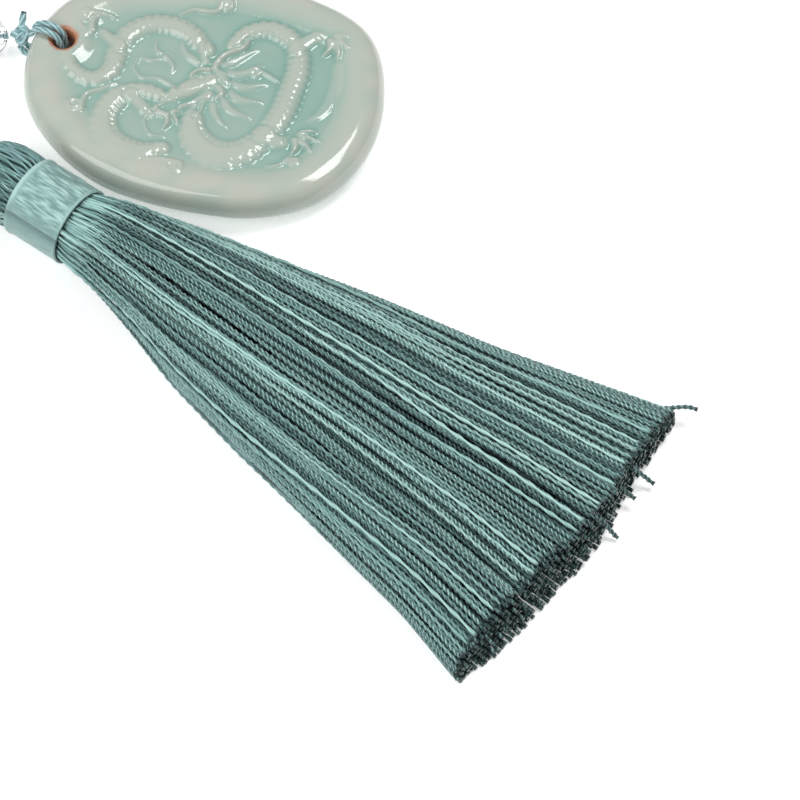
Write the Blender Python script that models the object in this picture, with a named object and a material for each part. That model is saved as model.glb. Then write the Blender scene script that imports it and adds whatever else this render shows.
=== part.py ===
"""Beaded tassel pendant, lying on a table as it was laid out.

A glazed stoneware plate with a raised dragon hangs on a doubled cord. Its cord runs from a small knot
through a clear glass bead to a joining knot, where the tassel's cord and the hanging loop meet it. The
tassel is a bundle of yarns folded into a round head, with a satin ribbon band around its neck.

Sizes are millimetres in the layout frame (X right, Y away, Z up from the table) until the meshes are
written in metres. The layout is then moved so that the origin is under the middle of the object,
the hanging loop left out.
"""

import math
import random

import bmesh
import bpy
from mathutils import Vector

MM = 0.001
SEED = 20
COLLECTION = "beaded_tassel_pendant"

# Glazed plate: outline radius every 22.5 degrees about its centre, counterclockwise from +X.
PLATE_CENTRE = (-28.5, 49.2)
PLATE_RADII = (26.3, 26.3, 23.1, 20.9, 20.4, 22.0, 25.4, 26.6, 25.6, 23.0, 21.0, 19.7, 20.1, 22.5, 25.2, 26.1)
PLATE_SECTORS = 72
# Columns: inset from the outline, height. From the widest line up and over the rim to the ground.
PLATE_TOP = ((0.1, 4.9), (0.6, 5.95), (1.4, 6.65), (2.5, 6.98), (3.7, 7.0), (4.6, 6.7), (5.4, 6.25))
# Columns: inset from the outline, height. From the widest line down and under to the flat foot.
PLATE_UNDER = ((0.15, 3.0), (0.8, 2.0), (2.2, 1.5), (6.6, 1.4), (10.0, 0.0))
PLATE_WIDEST_Z = 4.0
GROUND_Z = 6.15
RIM_Z = 7.0
GROUND_RINGS = (0.93, 0.85, 0.77, 0.69, 0.61, 0.53, 0.45, 0.37, 0.28, 0.19, 0.09)
RELIEF_HEIGHT = 0.8
RELIEF_SLOPE = 0.6
HOLE_CENTRE = (-48.7, 57.5)
HOLE_RADIUS = 1.75
HOLE_SHOULDER = 3.4
SHOULDER_FADE = 1.6
HOLE_SEGMENTS = 24
DRILL_LENGTH = 12.0

# Raised dragon on the plate, about the plate's centre: tail and back, lower loop, neck and chest.
# Columns: X, Y, half width.
DRAGON_BODIES = (
    ((-19.6, 5.6, 0.9), (-18.0, 2.6, 1.2), (-15.3, 1.5, 1.4), (-13.2, 3.2, 1.5), (-12.4, 6.4, 1.55),
     (-10.8, 9.6, 1.65), (-7.6, 11.3, 1.65), (-4.0, 10.9, 1.6), (-1.2, 9.0, 1.5), (0.6, 6.4, 1.3)),
    ((-4.8, -2.2, 1.2), (-8.2, -0.9, 1.35), (-11.8, -1.9, 1.8), (-13.8, -5.4, 1.95), (-12.6, -9.2, 1.9),
     (-9.0, -11.2, 1.7), (-5.4, -10.8, 1.2)),
    ((-1.2, -5.2, 1.5), (-0.8, -8.8, 2.3), (1.8, -11.6, 2.6), (5.6, -11.6, 2.3), (8.8, -9.0, 1.95),
     (11.2, -5.2, 1.85), (12.6, -1.2, 1.8), (13.7, 3.2, 1.7), (13.2, 7.4, 1.6), (10.2, 9.9, 1.55),
     (6.8, 9.5, 1.45), (4.6, 7.2, 1.25)),
    ((3.2, 2.4, 2.4), (1.2, 0.9, 2.6), (-1.2, -0.3, 1.9), (-3.6, -1.4, 1.4)),
)

# Tassel: neck end, direction in the table's plane, and the height of its middle line.
TASSEL_NECK = (-45.03, 24.73)
TASSEL_TURN = math.radians(-36.5)
TASSEL_Z = 6.1
NECK_RADIUS = 5.2
YARN_COLUMNS = 20
YARN_ROWS = 7
YARN_FILL = 0.7
ROOT_S = 0.4
# Columns: distance along, upper side, lower side, top height, share of the flattened pile.
SKIRT = (
    (0.4, 5.2, -5.2, 11.3, 0.0),
    (7.0, 8.6, -6.6, 11.4, 0.3),
    (28.0, 14.3, -11.1, 9.7, 1.0),
    (56.0, 20.5, -17.6, 8.6, 1.0),
    (86.6, 28.0, -24.9, 8.0, 1.0),
)
END_BULGE = 0.0052
END_SCATTER = 0.7
CROWN_REACH = 0.93
# Columns: distance along, radius. From the neck under the band to the tip of the head.
HEAD_PROFILE = (
    (-9.6, 5.2), (-10.2, 5.75), (-12.9, 5.85), (-15.5, 5.45), (-17.4, 4.35), (-18.7, 2.7), (-19.3, 1.1),
)

# Ribbon band. Columns: distance along, outer radius. The two edges are its raised selvedges.
BAND_INNER = 5.5
BAND_OUTER = ((-9.2, 5.85), (-8.95, 6.0), (-8.45, 6.0), (-8.15, 5.86), (-0.5, 5.86), (-0.3, 5.96), (0.0, 5.84))
BAND_SEGMENTS = 48
BAND_SEAM = math.radians(150.0)
BAND_LAP = 0.1
BAND_LAP_REACH = math.radians(250.0)

BEAD_CENTRE = (-60.25, 60.6, 3.1)
BEAD_RADIUS = 3.1
BEAD_BORE = 1.0
BEAD_ARC_STEPS = 12
BEAD_SEGMENTS = 32

# Knots. Columns: distance along the knot's own line, radius.
PLATE_KNOT = (-55.15, 60.15, 4.0)
PLATE_KNOT_RUN = (0.08, 1.0, 0.12)
PLATE_KNOT_PROFILE = (
    (-1.75, 0.5), (-1.6, 1.0), (-1.1, 1.45), (-0.6, 1.5), (-0.35, 1.38), (0.0, 1.55), (0.5, 1.55),
    (0.85, 1.3), (1.2, 1.3), (1.6, 0.85), (1.75, 0.58), (3.05, 0.56), (3.15, 0.4),
)
JOIN_KNOT = (-74.5, 52.0, 2.4)
JOIN_KNOT_RUN = (1.0, 0.08, 0.0)
JOIN_KNOT_PROFILE = (
    (-2.5, 0.7), (-2.3, 1.5), (-1.6, 2.1), (-1.0, 2.25), (-0.65, 2.05), (-0.2, 2.3), (0.4, 2.3),
    (0.75, 2.05), (1.2, 2.2), (1.8, 1.95), (2.3, 1.3), (2.5, 0.6),
)
KNOT_SEGMENTS = 24

LOOP_STRAND = 0.95
CORD = 1.0
STEM_CORD = 1.1
CORD_SPACING = 2.6
LOOP_SPACING = 1.9
# Doubled cord through the plate: over the rim, down the hole, back under the edge to the knot.
PLATE_LOOP = (
    (-53.3, 59.75, 5.35), (-52.75, 59.5, 6.75), (-51.6, 58.95, 7.65), (-50.3, 58.3, 7.8), (-49.25, 57.8, 7.05),
    (-48.9, 57.6, 5.4), (-48.9, 57.6, 2.6), (-49.5, 57.9, 0.95), (-51.2, 58.7, 0.58), (-53.6, 59.6, 0.58),
    (-54.7, 60.0, 1.0), (-55.15, 60.15, 1.95),
)
# Columns: share of the strand's length, offset to its side. Then the way to that side.
LOOP_SPREAD = ((0.0, 0.58), (0.3, 0.66), (0.62, 0.66), (1.0, 0.58))
LOOP_SIDE = (0.38, 0.92, 0.0)
STEM = (
    (-57.05, 60.3, 3.6), (-58.4, 60.45, 3.25), (-60.25, 60.6, 3.1), (-63.4, 60.75, 3.0), (-67.0, 59.5, 2.2),
    (-70.0, 57.0, 1.9), (-72.75, 54.2, 2.2),
)
TASSEL_CORD = (
    (-60.85, 36.55, 6.0), (-63.4, 38.6, 5.3), (-66.9, 42.2, 3.4), (-70.2, 46.2, 2.2), (-72.85, 49.55, 2.3),
)
HANGING_LOOP = (
    (-77.1, 53.3, 2.2), (-80.6, 55.1, 0.95), (-88.0, 58.6, 0.55), (-100.0, 60.7, 0.52), (-112.0, 58.9, 0.52),
    (-118.3, 53.0, 0.52), (-112.6, 47.2, 0.52), (-101.0, 44.9, 0.52), (-89.0, 46.8, 0.55),
    (-81.0, 49.9, 0.95), (-77.1, 51.4, 2.2),
)


def clear_scene():
    """Remove the objects of the start-up scene."""
    for item in list(bpy.data.objects):
        bpy.data.objects.remove(item, do_unlink=True)


def new_collection(name):
    """Make a collection in the scene."""
    made = bpy.data.collections.new(name)
    bpy.context.scene.collection.children.link(made)
    return made


def material(name, colour, roughness, metallic=0.0):
    """Make a plain surface for one piece."""
    made = bpy.data.materials.new(name)
    made.use_nodes = True
    shader = made.node_tree.nodes["Principled BSDF"]
    shader.inputs["Base Color"].default_value = (*colour, 1.0)
    shader.inputs["Roughness"].default_value = roughness
    shader.inputs["Metallic"].default_value = metallic
    return made


def object_from_bmesh(name, bm, home, look):
    """Turn a bmesh in millimetres into an object in metres, with its normals outwards."""
    bmesh.ops.recalc_face_normals(bm, faces=bm.faces)
    bmesh.ops.scale(bm, vec=(MM, MM, MM), verts=bm.verts)
    mesh = bpy.data.meshes.new(name)
    bm.to_mesh(mesh)
    bm.free()
    made = bpy.data.objects.new(name, mesh)
    home.objects.link(made)
    if look:
        mesh.materials.append(look)
    return made


def smooth_curve(points, spacing):
    """Read a smooth line through the points, with its samples about one spacing apart."""
    ends = [Vector(points[0]) * 2 - Vector(points[1]), Vector(points[-1]) * 2 - Vector(points[-2])]
    knots = [ends[0]] + [Vector(p) for p in points] + [ends[1]]
    line = []
    for a, b, c, d in zip(knots, knots[1:], knots[2:], knots[3:]):
        steps = max(1, round((c - b).length / spacing))
        for step in range(steps):
            t = step / steps
            line.append(0.5 * (2 * b + (c - a) * t + (2 * a - 5 * b + 4 * c - d) * t * t
                               + (3 * b - a - 3 * c + d) * t ** 3))
    line.append(knots[-2])
    return line


def table_value(table, t):
    """Read a two-column table at t along straight lines."""
    for (t0, v0), (t1, v1) in zip(table, table[1:]):
        if t <= t1:
            return v0 + (v1 - v0) * (t - t0) / (t1 - t0)
    return table[-1][1]


def cord_object(name, line, diameter, home, look):
    """Sweep a round cord along a line and close its two ends."""
    curve = bpy.data.curves.new(name + "_line", "CURVE")
    curve.dimensions = "3D"
    curve.bevel_depth = diameter / 2 * MM
    curve.bevel_resolution = 2
    curve.use_fill_caps = True
    spline = curve.splines.new("POLY")
    spline.points.add(len(line) - 1)
    for point, place in zip(spline.points, line):
        point.co = (*(place * MM), 1.0)
    sweep = bpy.data.objects.new(name + "_line", curve)
    home.objects.link(sweep)
    bpy.context.view_layer.update()
    mesh = bpy.data.meshes.new_from_object(sweep.evaluated_get(bpy.context.evaluated_depsgraph_get()))
    bpy.data.objects.remove(sweep, do_unlink=True)
    bm = bmesh.new()
    bm.from_mesh(mesh)
    bmesh.ops.remove_doubles(bm, verts=bm.verts, dist=0.00001)
    bmesh.ops.recalc_face_normals(bm, faces=bm.faces)
    bm.to_mesh(mesh)
    bm.free()
    mesh.name = name
    mesh.materials.clear()
    mesh.materials.append(look)
    made = bpy.data.objects.new(name, mesh)
    home.objects.link(made)
    return made


def lathe_object(name, profile, centre, direction, segments, home, look):
    """Turn a profile (distance along, radius) about a line through the centre."""
    axis = Vector(direction).normalized()
    side = axis.cross(Vector((0, 0, 1))).normalized()
    bm = bmesh.new()
    verts = [bm.verts.new(Vector(centre) + axis * along + side * radius) for along, radius in profile]
    edges = [bm.edges.new(pair) for pair in zip(verts, verts[1:])]
    bmesh.ops.spin(bm, geom=verts + edges, cent=centre, axis=axis, angle=2 * math.pi, steps=segments,
                   use_merge=True)
    bmesh.ops.remove_doubles(bm, verts=bm.verts, dist=0.001)
    bmesh.ops.holes_fill(bm, edges=[edge for edge in bm.edges if edge.is_boundary], sides=0)
    return object_from_bmesh(name, bm, home, look)


def outline_radius(angle):
    """Read the plate's outline radius at an angle, smoothly between the stated ones."""
    place = angle / (2 * math.pi) * len(PLATE_RADII)
    first = math.floor(place)
    t = place - first
    a, b, c, d = (PLATE_RADII[(first + k) % len(PLATE_RADII)] for k in (-1, 0, 1, 2))
    return 0.5 * (2 * b + (c - a) * t + (2 * a - 5 * b + 4 * c - d) * t * t + (3 * b - a - 3 * c + d) * t ** 3)


def relief_height(x, y, body):
    """Height of the ground or of the raised dragon at a place on the plate."""
    lift = 0.0
    for px, py, half in body:
        lift = max(lift, 1.0 - (math.hypot(x - px, y - py) / (half + RELIEF_SLOPE)) ** 2)
    away = math.hypot(x - (HOLE_CENTRE[0] - PLATE_CENTRE[0]), y - (HOLE_CENTRE[1] - PLATE_CENTRE[1]))
    shoulder = max(0.0, min(1.0, (HOLE_SHOULDER + SHOULDER_FADE - away) / SHOULDER_FADE))
    return GROUND_Z + max(RELIEF_HEIGHT * lift, (RIM_Z - GROUND_Z) * shoulder)


def make_plate(home, cutters, look):
    """Pebble-shaped plate: rings of one outline closed into a solid, then bored for the cord."""
    body = []
    for stroke in DRAGON_BODIES:
        body.extend(tuple(sample) for sample in smooth_curve(stroke, 0.8))
    angles = [2 * math.pi * k / PLATE_SECTORS for k in range(PLATE_SECTORS)]
    reach = [outline_radius(a) for a in angles]
    bm = bmesh.new()

    def ring(radii, heights):
        verts = [bm.verts.new((PLATE_CENTRE[0] + r * math.cos(a), PLATE_CENTRE[1] + r * math.sin(a), z))
                 for r, a, z in zip(radii, angles, heights)]
        return [bm.edges.new((v, w)) for v, w in zip(verts, verts[1:] + verts[:1])]

    def flat(inset, z):
        return ring([r - inset for r in reach], [z] * PLATE_SECTORS)

    rings = [flat(inset, z) for inset, z in reversed(PLATE_UNDER)]
    rings.append(flat(0.0, PLATE_WIDEST_Z))
    rings.extend(flat(inset, z) for inset, z in PLATE_TOP[:-2])
    for inset, z in PLATE_TOP[-2:]:
        radii = [r - inset for r in reach]
        heights = [max(z, relief_height(r * math.cos(a), r * math.sin(a), body)) for r, a in zip(radii, angles)]
        rings.append(ring(radii, heights))
    for share in GROUND_RINGS:
        radii = [(r - PLATE_TOP[-1][0]) * share for r in reach]
        heights = [relief_height(r * math.cos(a), r * math.sin(a), body) for r, a in zip(radii, angles)]
        rings.append(ring(radii, heights))
    for lower, upper in zip(rings, rings[1:]):
        bmesh.ops.bridge_loops(bm, edges=lower + upper)
    bmesh.ops.contextual_create(bm, geom=rings[0])
    top = bm.verts.new((*PLATE_CENTRE, relief_height(0.0, 0.0, body)))
    for edge in rings[-1]:
        bm.faces.new((*edge.verts, top))
    plate = object_from_bmesh("ceramic_plate", bm, home, look)

    bore = bmesh.new()
    bmesh.ops.create_cone(bore, cap_ends=True, segments=HOLE_SEGMENTS, radius1=HOLE_RADIUS,
                          radius2=HOLE_RADIUS, depth=DRILL_LENGTH)
    bmesh.ops.translate(bore, vec=(*HOLE_CENTRE, RIM_Z / 2), verts=bore.verts)
    cutter = object_from_bmesh("cutter_cord_hole", bore, cutters, None)
    cutter.hide_render = True
    cutter.display_type = "WIRE"
    cut = plate.modifiers.new("cord_hole", "BOOLEAN")
    cut.operation = "DIFFERENCE"
    cut.solver = "EXACT"
    cut.object = cutter
    return plate


def tassel_point(along, lateral, height):
    """Place a point given along the tassel, across it and above the table."""
    c, s = math.cos(TASSEL_TURN), math.sin(TASSEL_TURN)
    return Vector((TASSEL_NECK[0] + c * along - s * lateral, TASSEL_NECK[1] + s * along + c * lateral, height))


def disc_from_square(u, v):
    """Take a place in the unit square to the unit disc."""
    return u * math.sqrt(1 - v * v / 2), v * math.sqrt(1 - u * u / 2)


def skirt_point(station, u, v, along):
    """Place of one yarn corner at a station: round at the neck, a flattened pile further out."""
    _, upper, lower, top, pile = station
    middle = (upper + lower) / 2
    half = (upper - lower) / 2
    dx, dy = disc_from_square(u, v)
    lowest = -1 + (1 - YARN_FILL) / YARN_ROWS
    crown = top * math.sqrt(1 - (CROWN_REACH * u) ** 2)
    round_z = TASSEL_Z + NECK_RADIUS * dy
    pile_z = crown * (v - lowest) / (1 - lowest)
    lateral = middle + half * (dx * (1 - pile) + u * pile)
    return tassel_point(along, lateral, round_z * (1 - pile) + pile_z * pile)


def make_tassel(home, look):
    """Tassel: a grid bent into the neck's disc, its cells drawn out as yarns, its edge as the head."""
    chance = random.Random(SEED)
    bm = bmesh.new()
    place = bm.verts.layers.float_vector.new("place")
    bmesh.ops.create_grid(bm, x_segments=YARN_COLUMNS, y_segments=YARN_ROWS, size=1.0)
    cells = bmesh.ops.inset_individual(bm, faces=list(bm.faces), thickness=0.01)
    tips = [face for face in bm.faces if face not in set(cells["faces"])]
    for tip in tips:
        middle = tip.calc_center_median()
        for vert in tip.verts:
            vert.co.x = middle.x + math.copysign(YARN_FILL / YARN_COLUMNS, vert.co.x - middle.x)
            vert.co.y = middle.y + math.copysign(YARN_FILL / YARN_ROWS, vert.co.y - middle.y)
    for vert in bm.verts:
        vert[place] = vert.co
        vert.co = skirt_point(SKIRT[0], vert.co.x, vert.co.y, ROOT_S)
    for station in SKIRT[1:]:
        tips = bmesh.ops.extrude_discrete_faces(bm, faces=tips)["faces"]
        for tip in tips:
            scatter = chance.uniform(-END_SCATTER, END_SCATTER)
            for vert in tip.verts:
                u, v, _ = vert[place]
                along = station[0]
                if station is SKIRT[-1]:
                    lateral = (station[1] + station[2]) / 2 + (station[1] - station[2]) / 2 * u
                    along += scatter - END_BULGE * lateral * lateral
                vert.co = skirt_point(station, u, v, along)
    rim = [edge for edge in bm.edges if edge.is_boundary]
    for along, radius in HEAD_PROFILE:
        drawn = bmesh.ops.extrude_edge_only(bm, edges=rim)["geom"]
        rim = [item for item in drawn if isinstance(item, bmesh.types.BMEdge)]
        for vert in (item for item in drawn if isinstance(item, bmesh.types.BMVert)):
            u, v, _ = vert[place]
            dx, dy = disc_from_square(u, v)
            vert.co = tassel_point(along, radius * dx, TASSEL_Z + radius * dy)
    bmesh.ops.contextual_create(bm, geom=rim)
    return object_from_bmesh("tassel", bm, home, look)


def make_band(home, look):
    """Ribbon wound around the neck: a sleeve with two raised edges and a lapped seam."""
    bm = bmesh.new()
    rings = []
    for along, outer in (*BAND_OUTER, (BAND_OUTER[-1][0], BAND_INNER), (BAND_OUTER[0][0], BAND_INNER)):
        verts = []
        for k in range(BAND_SEGMENTS):
            angle = 2 * math.pi * k / BAND_SEGMENTS
            past_seam = (BAND_SEAM - angle) % (2 * math.pi)
            lap = BAND_LAP * max(0.0, 1.0 - past_seam / BAND_LAP_REACH) if outer > BAND_INNER else 0.0
            radius = outer + lap
            verts.append(bm.verts.new(tassel_point(along, radius * math.cos(angle),
                                                   TASSEL_Z + radius * math.sin(angle))))
        rings.append([bm.edges.new((v, w)) for v, w in zip(verts, verts[1:] + verts[:1])])
    for one, two in zip(rings, rings[1:] + rings[:1]):
        bmesh.ops.bridge_loops(bm, edges=one + two)
    return object_from_bmesh("neck_band", bm, home, look)


def make_bead(home, look):
    """Glass bead, a ball with a bore for the cord."""
    half = math.sqrt(BEAD_RADIUS ** 2 - BEAD_BORE ** 2)
    start = math.atan2(BEAD_BORE, half)
    profile = []
    for k in range(BEAD_ARC_STEPS + 1):
        angle = start + (math.pi - 2 * start) * k / BEAD_ARC_STEPS
        profile.append((BEAD_RADIUS * math.cos(angle), BEAD_RADIUS * math.sin(angle)))
    profile.append(profile[0])
    run = Vector(STEM[3]) - Vector(STEM[1])
    return lathe_object("glass_bead", profile, BEAD_CENTRE, run, BEAD_SEGMENTS, home, look)


def make_plate_loops(home, look):
    """Two strands side by side around the plate's edge, each from the knot and back to it."""
    middle = smooth_curve(PLATE_LOOP, LOOP_SPACING)
    across = Vector(LOOP_SIDE).normalized()
    for name, hand in (("plate_loop_back", 1.0), ("plate_loop_front", -1.0)):
        line = []
        for k, point in enumerate(middle):
            line.append(point + across * hand * table_value(LOOP_SPREAD, k / (len(middle) - 1)))
        cord_object(name, line, LOOP_STRAND, home, look)


def shift_to_origin(pieces, left_out):
    """Find the move that puts the origin under the middle of the pieces, one of them left out."""
    corners = [piece.matrix_world @ Vector(corner) for piece in pieces if piece.name != left_out
               for corner in piece.bound_box]
    return Vector((-(min(c.x for c in corners) + max(c.x for c in corners)) / 2,
                   -(min(c.y for c in corners) + max(c.y for c in corners)) / 2,
                   -min(c.z for c in corners)))


def build():
    """Build the pendant."""
    clear_scene()
    home = new_collection(COLLECTION)
    cutters = new_collection("cutters")
    silk = material("tassel_yarn", (0.115, 0.255, 0.255), 0.45)
    ribbon = material("satin_ribbon", (0.17, 0.36, 0.36), 0.35)
    glaze = material("celadon_glaze", (0.60, 0.68, 0.62), 0.12)
    glass = material("clear_glass", (0.93, 0.96, 0.97), 0.05)
    cord = material("cord_yarn", (0.18, 0.34, 0.35), 0.45)
    knot = material("knot_yarn", (0.16, 0.31, 0.32), 0.5)

    make_tassel(home, silk)
    make_band(home, ribbon)
    make_plate(home, cutters, glaze)
    make_bead(home, glass)
    lathe_object("plate_knot", PLATE_KNOT_PROFILE, PLATE_KNOT, PLATE_KNOT_RUN, KNOT_SEGMENTS, home, knot)
    lathe_object("join_knot", JOIN_KNOT_PROFILE, JOIN_KNOT, JOIN_KNOT_RUN, KNOT_SEGMENTS, home, knot)
    make_plate_loops(home, cord)
    cord_object("plate_cord", smooth_curve(STEM, CORD_SPACING), STEM_CORD, home, cord)
    cord_object("tassel_cord", smooth_curve(TASSEL_CORD, CORD_SPACING), CORD, home, cord)
    cord_object("hanging_loop", smooth_curve(HANGING_LOOP, CORD_SPACING), CORD, home, cord)

    bpy.context.view_layer.update()
    shift = shift_to_origin(list(home.objects), "hanging_loop")
    for piece in list(home.objects) + list(cutters.objects):
        piece.data.transform(piece.matrix_world.Translation(shift))
        piece.data.update()
    print("layout moved by", [round(v / MM, 4) for v in shift], "mm")


build()
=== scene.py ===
"""Finished look of the beaded tassel pendant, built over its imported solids.

The pendant lies on a table: a celadon plate with a raised dragon, a clear bead, knotted cord, and a
tassel of two-ply yarn with a ribbon band round its neck. Points are written in millimetres in the
layout in which the pieces were drawn, and a Layout turns them into metres in the model's own frame.
"""

import logging
import math
from dataclasses import dataclass
from enum import Enum
from typing import Optional, Sequence

import bmesh
import bpy
import numpy as np
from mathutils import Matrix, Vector

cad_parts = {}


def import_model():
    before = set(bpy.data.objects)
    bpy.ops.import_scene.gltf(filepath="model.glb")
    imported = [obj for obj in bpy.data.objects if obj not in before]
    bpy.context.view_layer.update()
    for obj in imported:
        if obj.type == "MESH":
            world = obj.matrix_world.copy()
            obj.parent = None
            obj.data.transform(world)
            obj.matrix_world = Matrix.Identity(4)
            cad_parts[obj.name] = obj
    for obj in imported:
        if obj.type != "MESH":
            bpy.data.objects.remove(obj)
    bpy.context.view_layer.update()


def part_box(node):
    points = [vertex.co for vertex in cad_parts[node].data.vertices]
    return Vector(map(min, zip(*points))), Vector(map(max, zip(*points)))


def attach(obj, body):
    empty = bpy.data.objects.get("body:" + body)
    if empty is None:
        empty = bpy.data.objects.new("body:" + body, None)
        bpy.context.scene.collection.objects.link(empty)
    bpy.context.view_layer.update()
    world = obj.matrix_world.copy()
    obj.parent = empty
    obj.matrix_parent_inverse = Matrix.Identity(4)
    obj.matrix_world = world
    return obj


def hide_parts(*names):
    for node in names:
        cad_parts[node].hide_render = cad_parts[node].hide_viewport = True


LOG = logging.getLogger("pendant")
MM = 0.001
BODY = "root"
TASSEL_TURN = math.radians(-36.5)
TASSEL_NECK = (-45.03, 24.73)
TASSEL_Z = 6.1
TAU = 2 * math.pi

Point = tuple[float, float, float]


def srgb(red: float, green: float, blue: float) -> tuple[float, float, float, float]:
    """Turn a colour as the eye reads it into the linear values a shader takes.

    Args:
        red: Red from 0 to 1.
        green: Green from 0 to 1.
        blue: Blue from 0 to 1.

    Returns:
        The linear colour with an alpha of 1.
    """
    parts = [c / 12.92 if c <= 0.04045 else ((c + 0.055) / 1.055) ** 2.4 for c in (red, green, blue)]
    return (parts[0], parts[1], parts[2], 1.0)


def smooth_step(low: float, high: float, value: np.ndarray) -> np.ndarray:
    """Blend from 0 at low to 1 at high with soft ends.

    Args:
        low: Value that gives 0.
        high: Value that gives 1.
        value: Values to blend.

    Returns:
        The blended values.
    """
    t = np.clip((value - low) / (high - low), 0.0, 1.0)
    return t * t * (3 - 2 * t)


def smooth_line(points: Sequence[Sequence[float]], spacing: float) -> np.ndarray:
    """Read a smooth line through stated points.

    Args:
        points: Points of any number of columns.
        spacing: Distance between samples, in the points' unit.

    Returns:
        The samples, one row each.
    """
    given = [np.asarray(p, float) for p in points]
    knots = [2 * given[0] - given[1], *given, 2 * given[-1] - given[-2]]
    rows = []
    for a, b, c, d in zip(knots, knots[1:], knots[2:], knots[3:]):
        steps = max(1, round(float(np.linalg.norm((c - b)[:3])) / spacing))
        for step in range(steps):
            t = step / steps
            rows.append(0.5 * (2 * b + (c - a) * t + (2 * a - 5 * b + 4 * c - d) * t * t
                               + (3 * b - a - 3 * c + d) * t ** 3))
    rows.append(given[-1])
    return np.array(rows)


def soft_noise(x: np.ndarray, y: np.ndarray, seed: int, terms: int = 14) -> np.ndarray:
    """Give a smooth random surface with a period near one unit each way.

    Args:
        x: First coordinate, in periods.
        y: Second coordinate, in periods.
        seed: Seed of the waves.
        terms: Number of waves added up.

    Returns:
        Heights of about -1 to 1.
    """
    chance = np.random.default_rng(seed)
    total = np.zeros(np.broadcast(x, y).shape)
    for _ in range(terms):
        turn = chance.uniform(0, TAU)
        reach = chance.uniform(0.5, 1.5) * TAU
        total = total + np.sin(reach * (np.cos(turn) * x + np.sin(turn) * y) + chance.uniform(0, TAU))
    return total / math.sqrt(terms)


@dataclass(frozen=True)
class Layout:
    """Place of the drawn layout in the model's frame.

    Attributes:
        shift: What is added to a layout point, in millimetres.
    """

    shift: Point

    @classmethod
    def read(cls) -> "Layout":
        """Find the layout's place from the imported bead.

        Returns:
            The layout.
        """
        low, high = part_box("glass_bead")
        middle = [(a + b) / 2 / MM for a, b in zip(low, high)]
        drawn = GlassBead.centre
        return cls((middle[0] - drawn[0], middle[1] - drawn[1], middle[2] - drawn[2]))

    def place(self, points: np.ndarray) -> np.ndarray:
        """Turn layout points in millimetres into model points in metres."""
        return (np.asarray(points, float) + np.asarray(self.shift)) * MM


class Shape:
    """Mesh writing shared by the sub-assemblies."""

    @staticmethod
    def mesh(name: str, points: np.ndarray, faces: Sequence[np.ndarray], layout: Layout) -> bpy.types.Object:
        """Write a smooth-shaded mesh of quads and triangles.

        Args:
            name: Name of the piece.
            points: Corners in layout millimetres.
            faces: Tables of corner numbers, one row to a face.
            layout: The layout.

        Returns:
            The new object, at the origin.
        """
        mesh = bpy.data.meshes.new(name)
        placed = layout.place(points).astype(np.float32)
        corners = np.concatenate([table.ravel() for table in faces]).astype(np.int32)
        sizes = np.concatenate([np.full(len(table), table.shape[1]) for table in faces])
        mesh.vertices.add(len(placed))
        mesh.vertices.foreach_set("co", placed.ravel())
        mesh.loops.add(len(corners))
        mesh.loops.foreach_set("vertex_index", corners)
        mesh.polygons.add(len(sizes))
        mesh.polygons.foreach_set("loop_start", (np.cumsum(sizes) - sizes).astype(np.int32))
        mesh.update(calc_edges=True)
        mesh.validate()
        mesh.shade_smooth()
        made = bpy.data.objects.new(name, mesh)
        bpy.context.scene.collection.objects.link(made)
        return made

    @staticmethod
    def mark(piece: bpy.types.Object, name: str, values: np.ndarray) -> None:
        """Store one number for each corner of a piece.

        Args:
            piece: The piece.
            name: Name that its material reads.
            values: One number for each corner.
        """
        layer = piece.data.attributes.new(name, "FLOAT", "POINT")
        layer.data.foreach_set("value", np.asarray(values, np.float32))

    @staticmethod
    def mark_vector(piece: bpy.types.Object, name: str, values: np.ndarray) -> None:
        """Store one vector for each corner of a piece.

        Args:
            piece: The piece.
            name: Name that its material reads.
            values: One row of three numbers for each corner.
        """
        layer = piece.data.attributes.new(name, "FLOAT_VECTOR", "POINT")
        layer.data.foreach_set("vector", np.asarray(values, np.float32).ravel())

    @staticmethod
    def grid_faces(rows: int, columns: int, closed: bool) -> np.ndarray:
        """List the quads of a grid of corners.

        Args:
            rows: Rows of corners.
            columns: Corners in a row.
            closed: Whether the last column joins the first.

        Returns:
            One row of four corner numbers to a quad.
        """
        r = np.arange(rows - 1)[:, None]
        c = np.arange(columns if closed else columns - 1)[None, :]
        n = (c + 1) % columns
        quads = np.stack([r * columns + c, r * columns + n, (r + 1) * columns + n, (r + 1) * columns + c], -1)
        return quads.reshape(-1, 4)

    @staticmethod
    def outward(piece: bpy.types.Object) -> None:
        """Close a piece's doubled corners and turn its faces outwards.

        Args:
            piece: The piece.
        """
        bm = bmesh.new()
        bm.from_mesh(piece.data)
        bmesh.ops.remove_doubles(bm, verts=bm.verts, dist=1e-6)
        bmesh.ops.recalc_face_normals(bm, faces=bm.faces)
        bm.to_mesh(piece.data)
        bm.free()

    @staticmethod
    def finish(piece: bpy.types.Object, look: bpy.types.Material, slot: str, *nodes: str) -> None:
        """Dress a piece, ride it on the pendant and hide the solids that it stands for.

        Args:
            piece: The piece.
            look: Its material.
            slot: Name of a material slot; not used.
            nodes: Solids that it replaces.
        """
        if not piece.data.materials:
            piece.data.materials.append(look)
        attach(piece, BODY)
        if nodes:
            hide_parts(*nodes)
        LOG.info("%s: %d faces", piece.name, len(piece.data.polygons))


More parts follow.
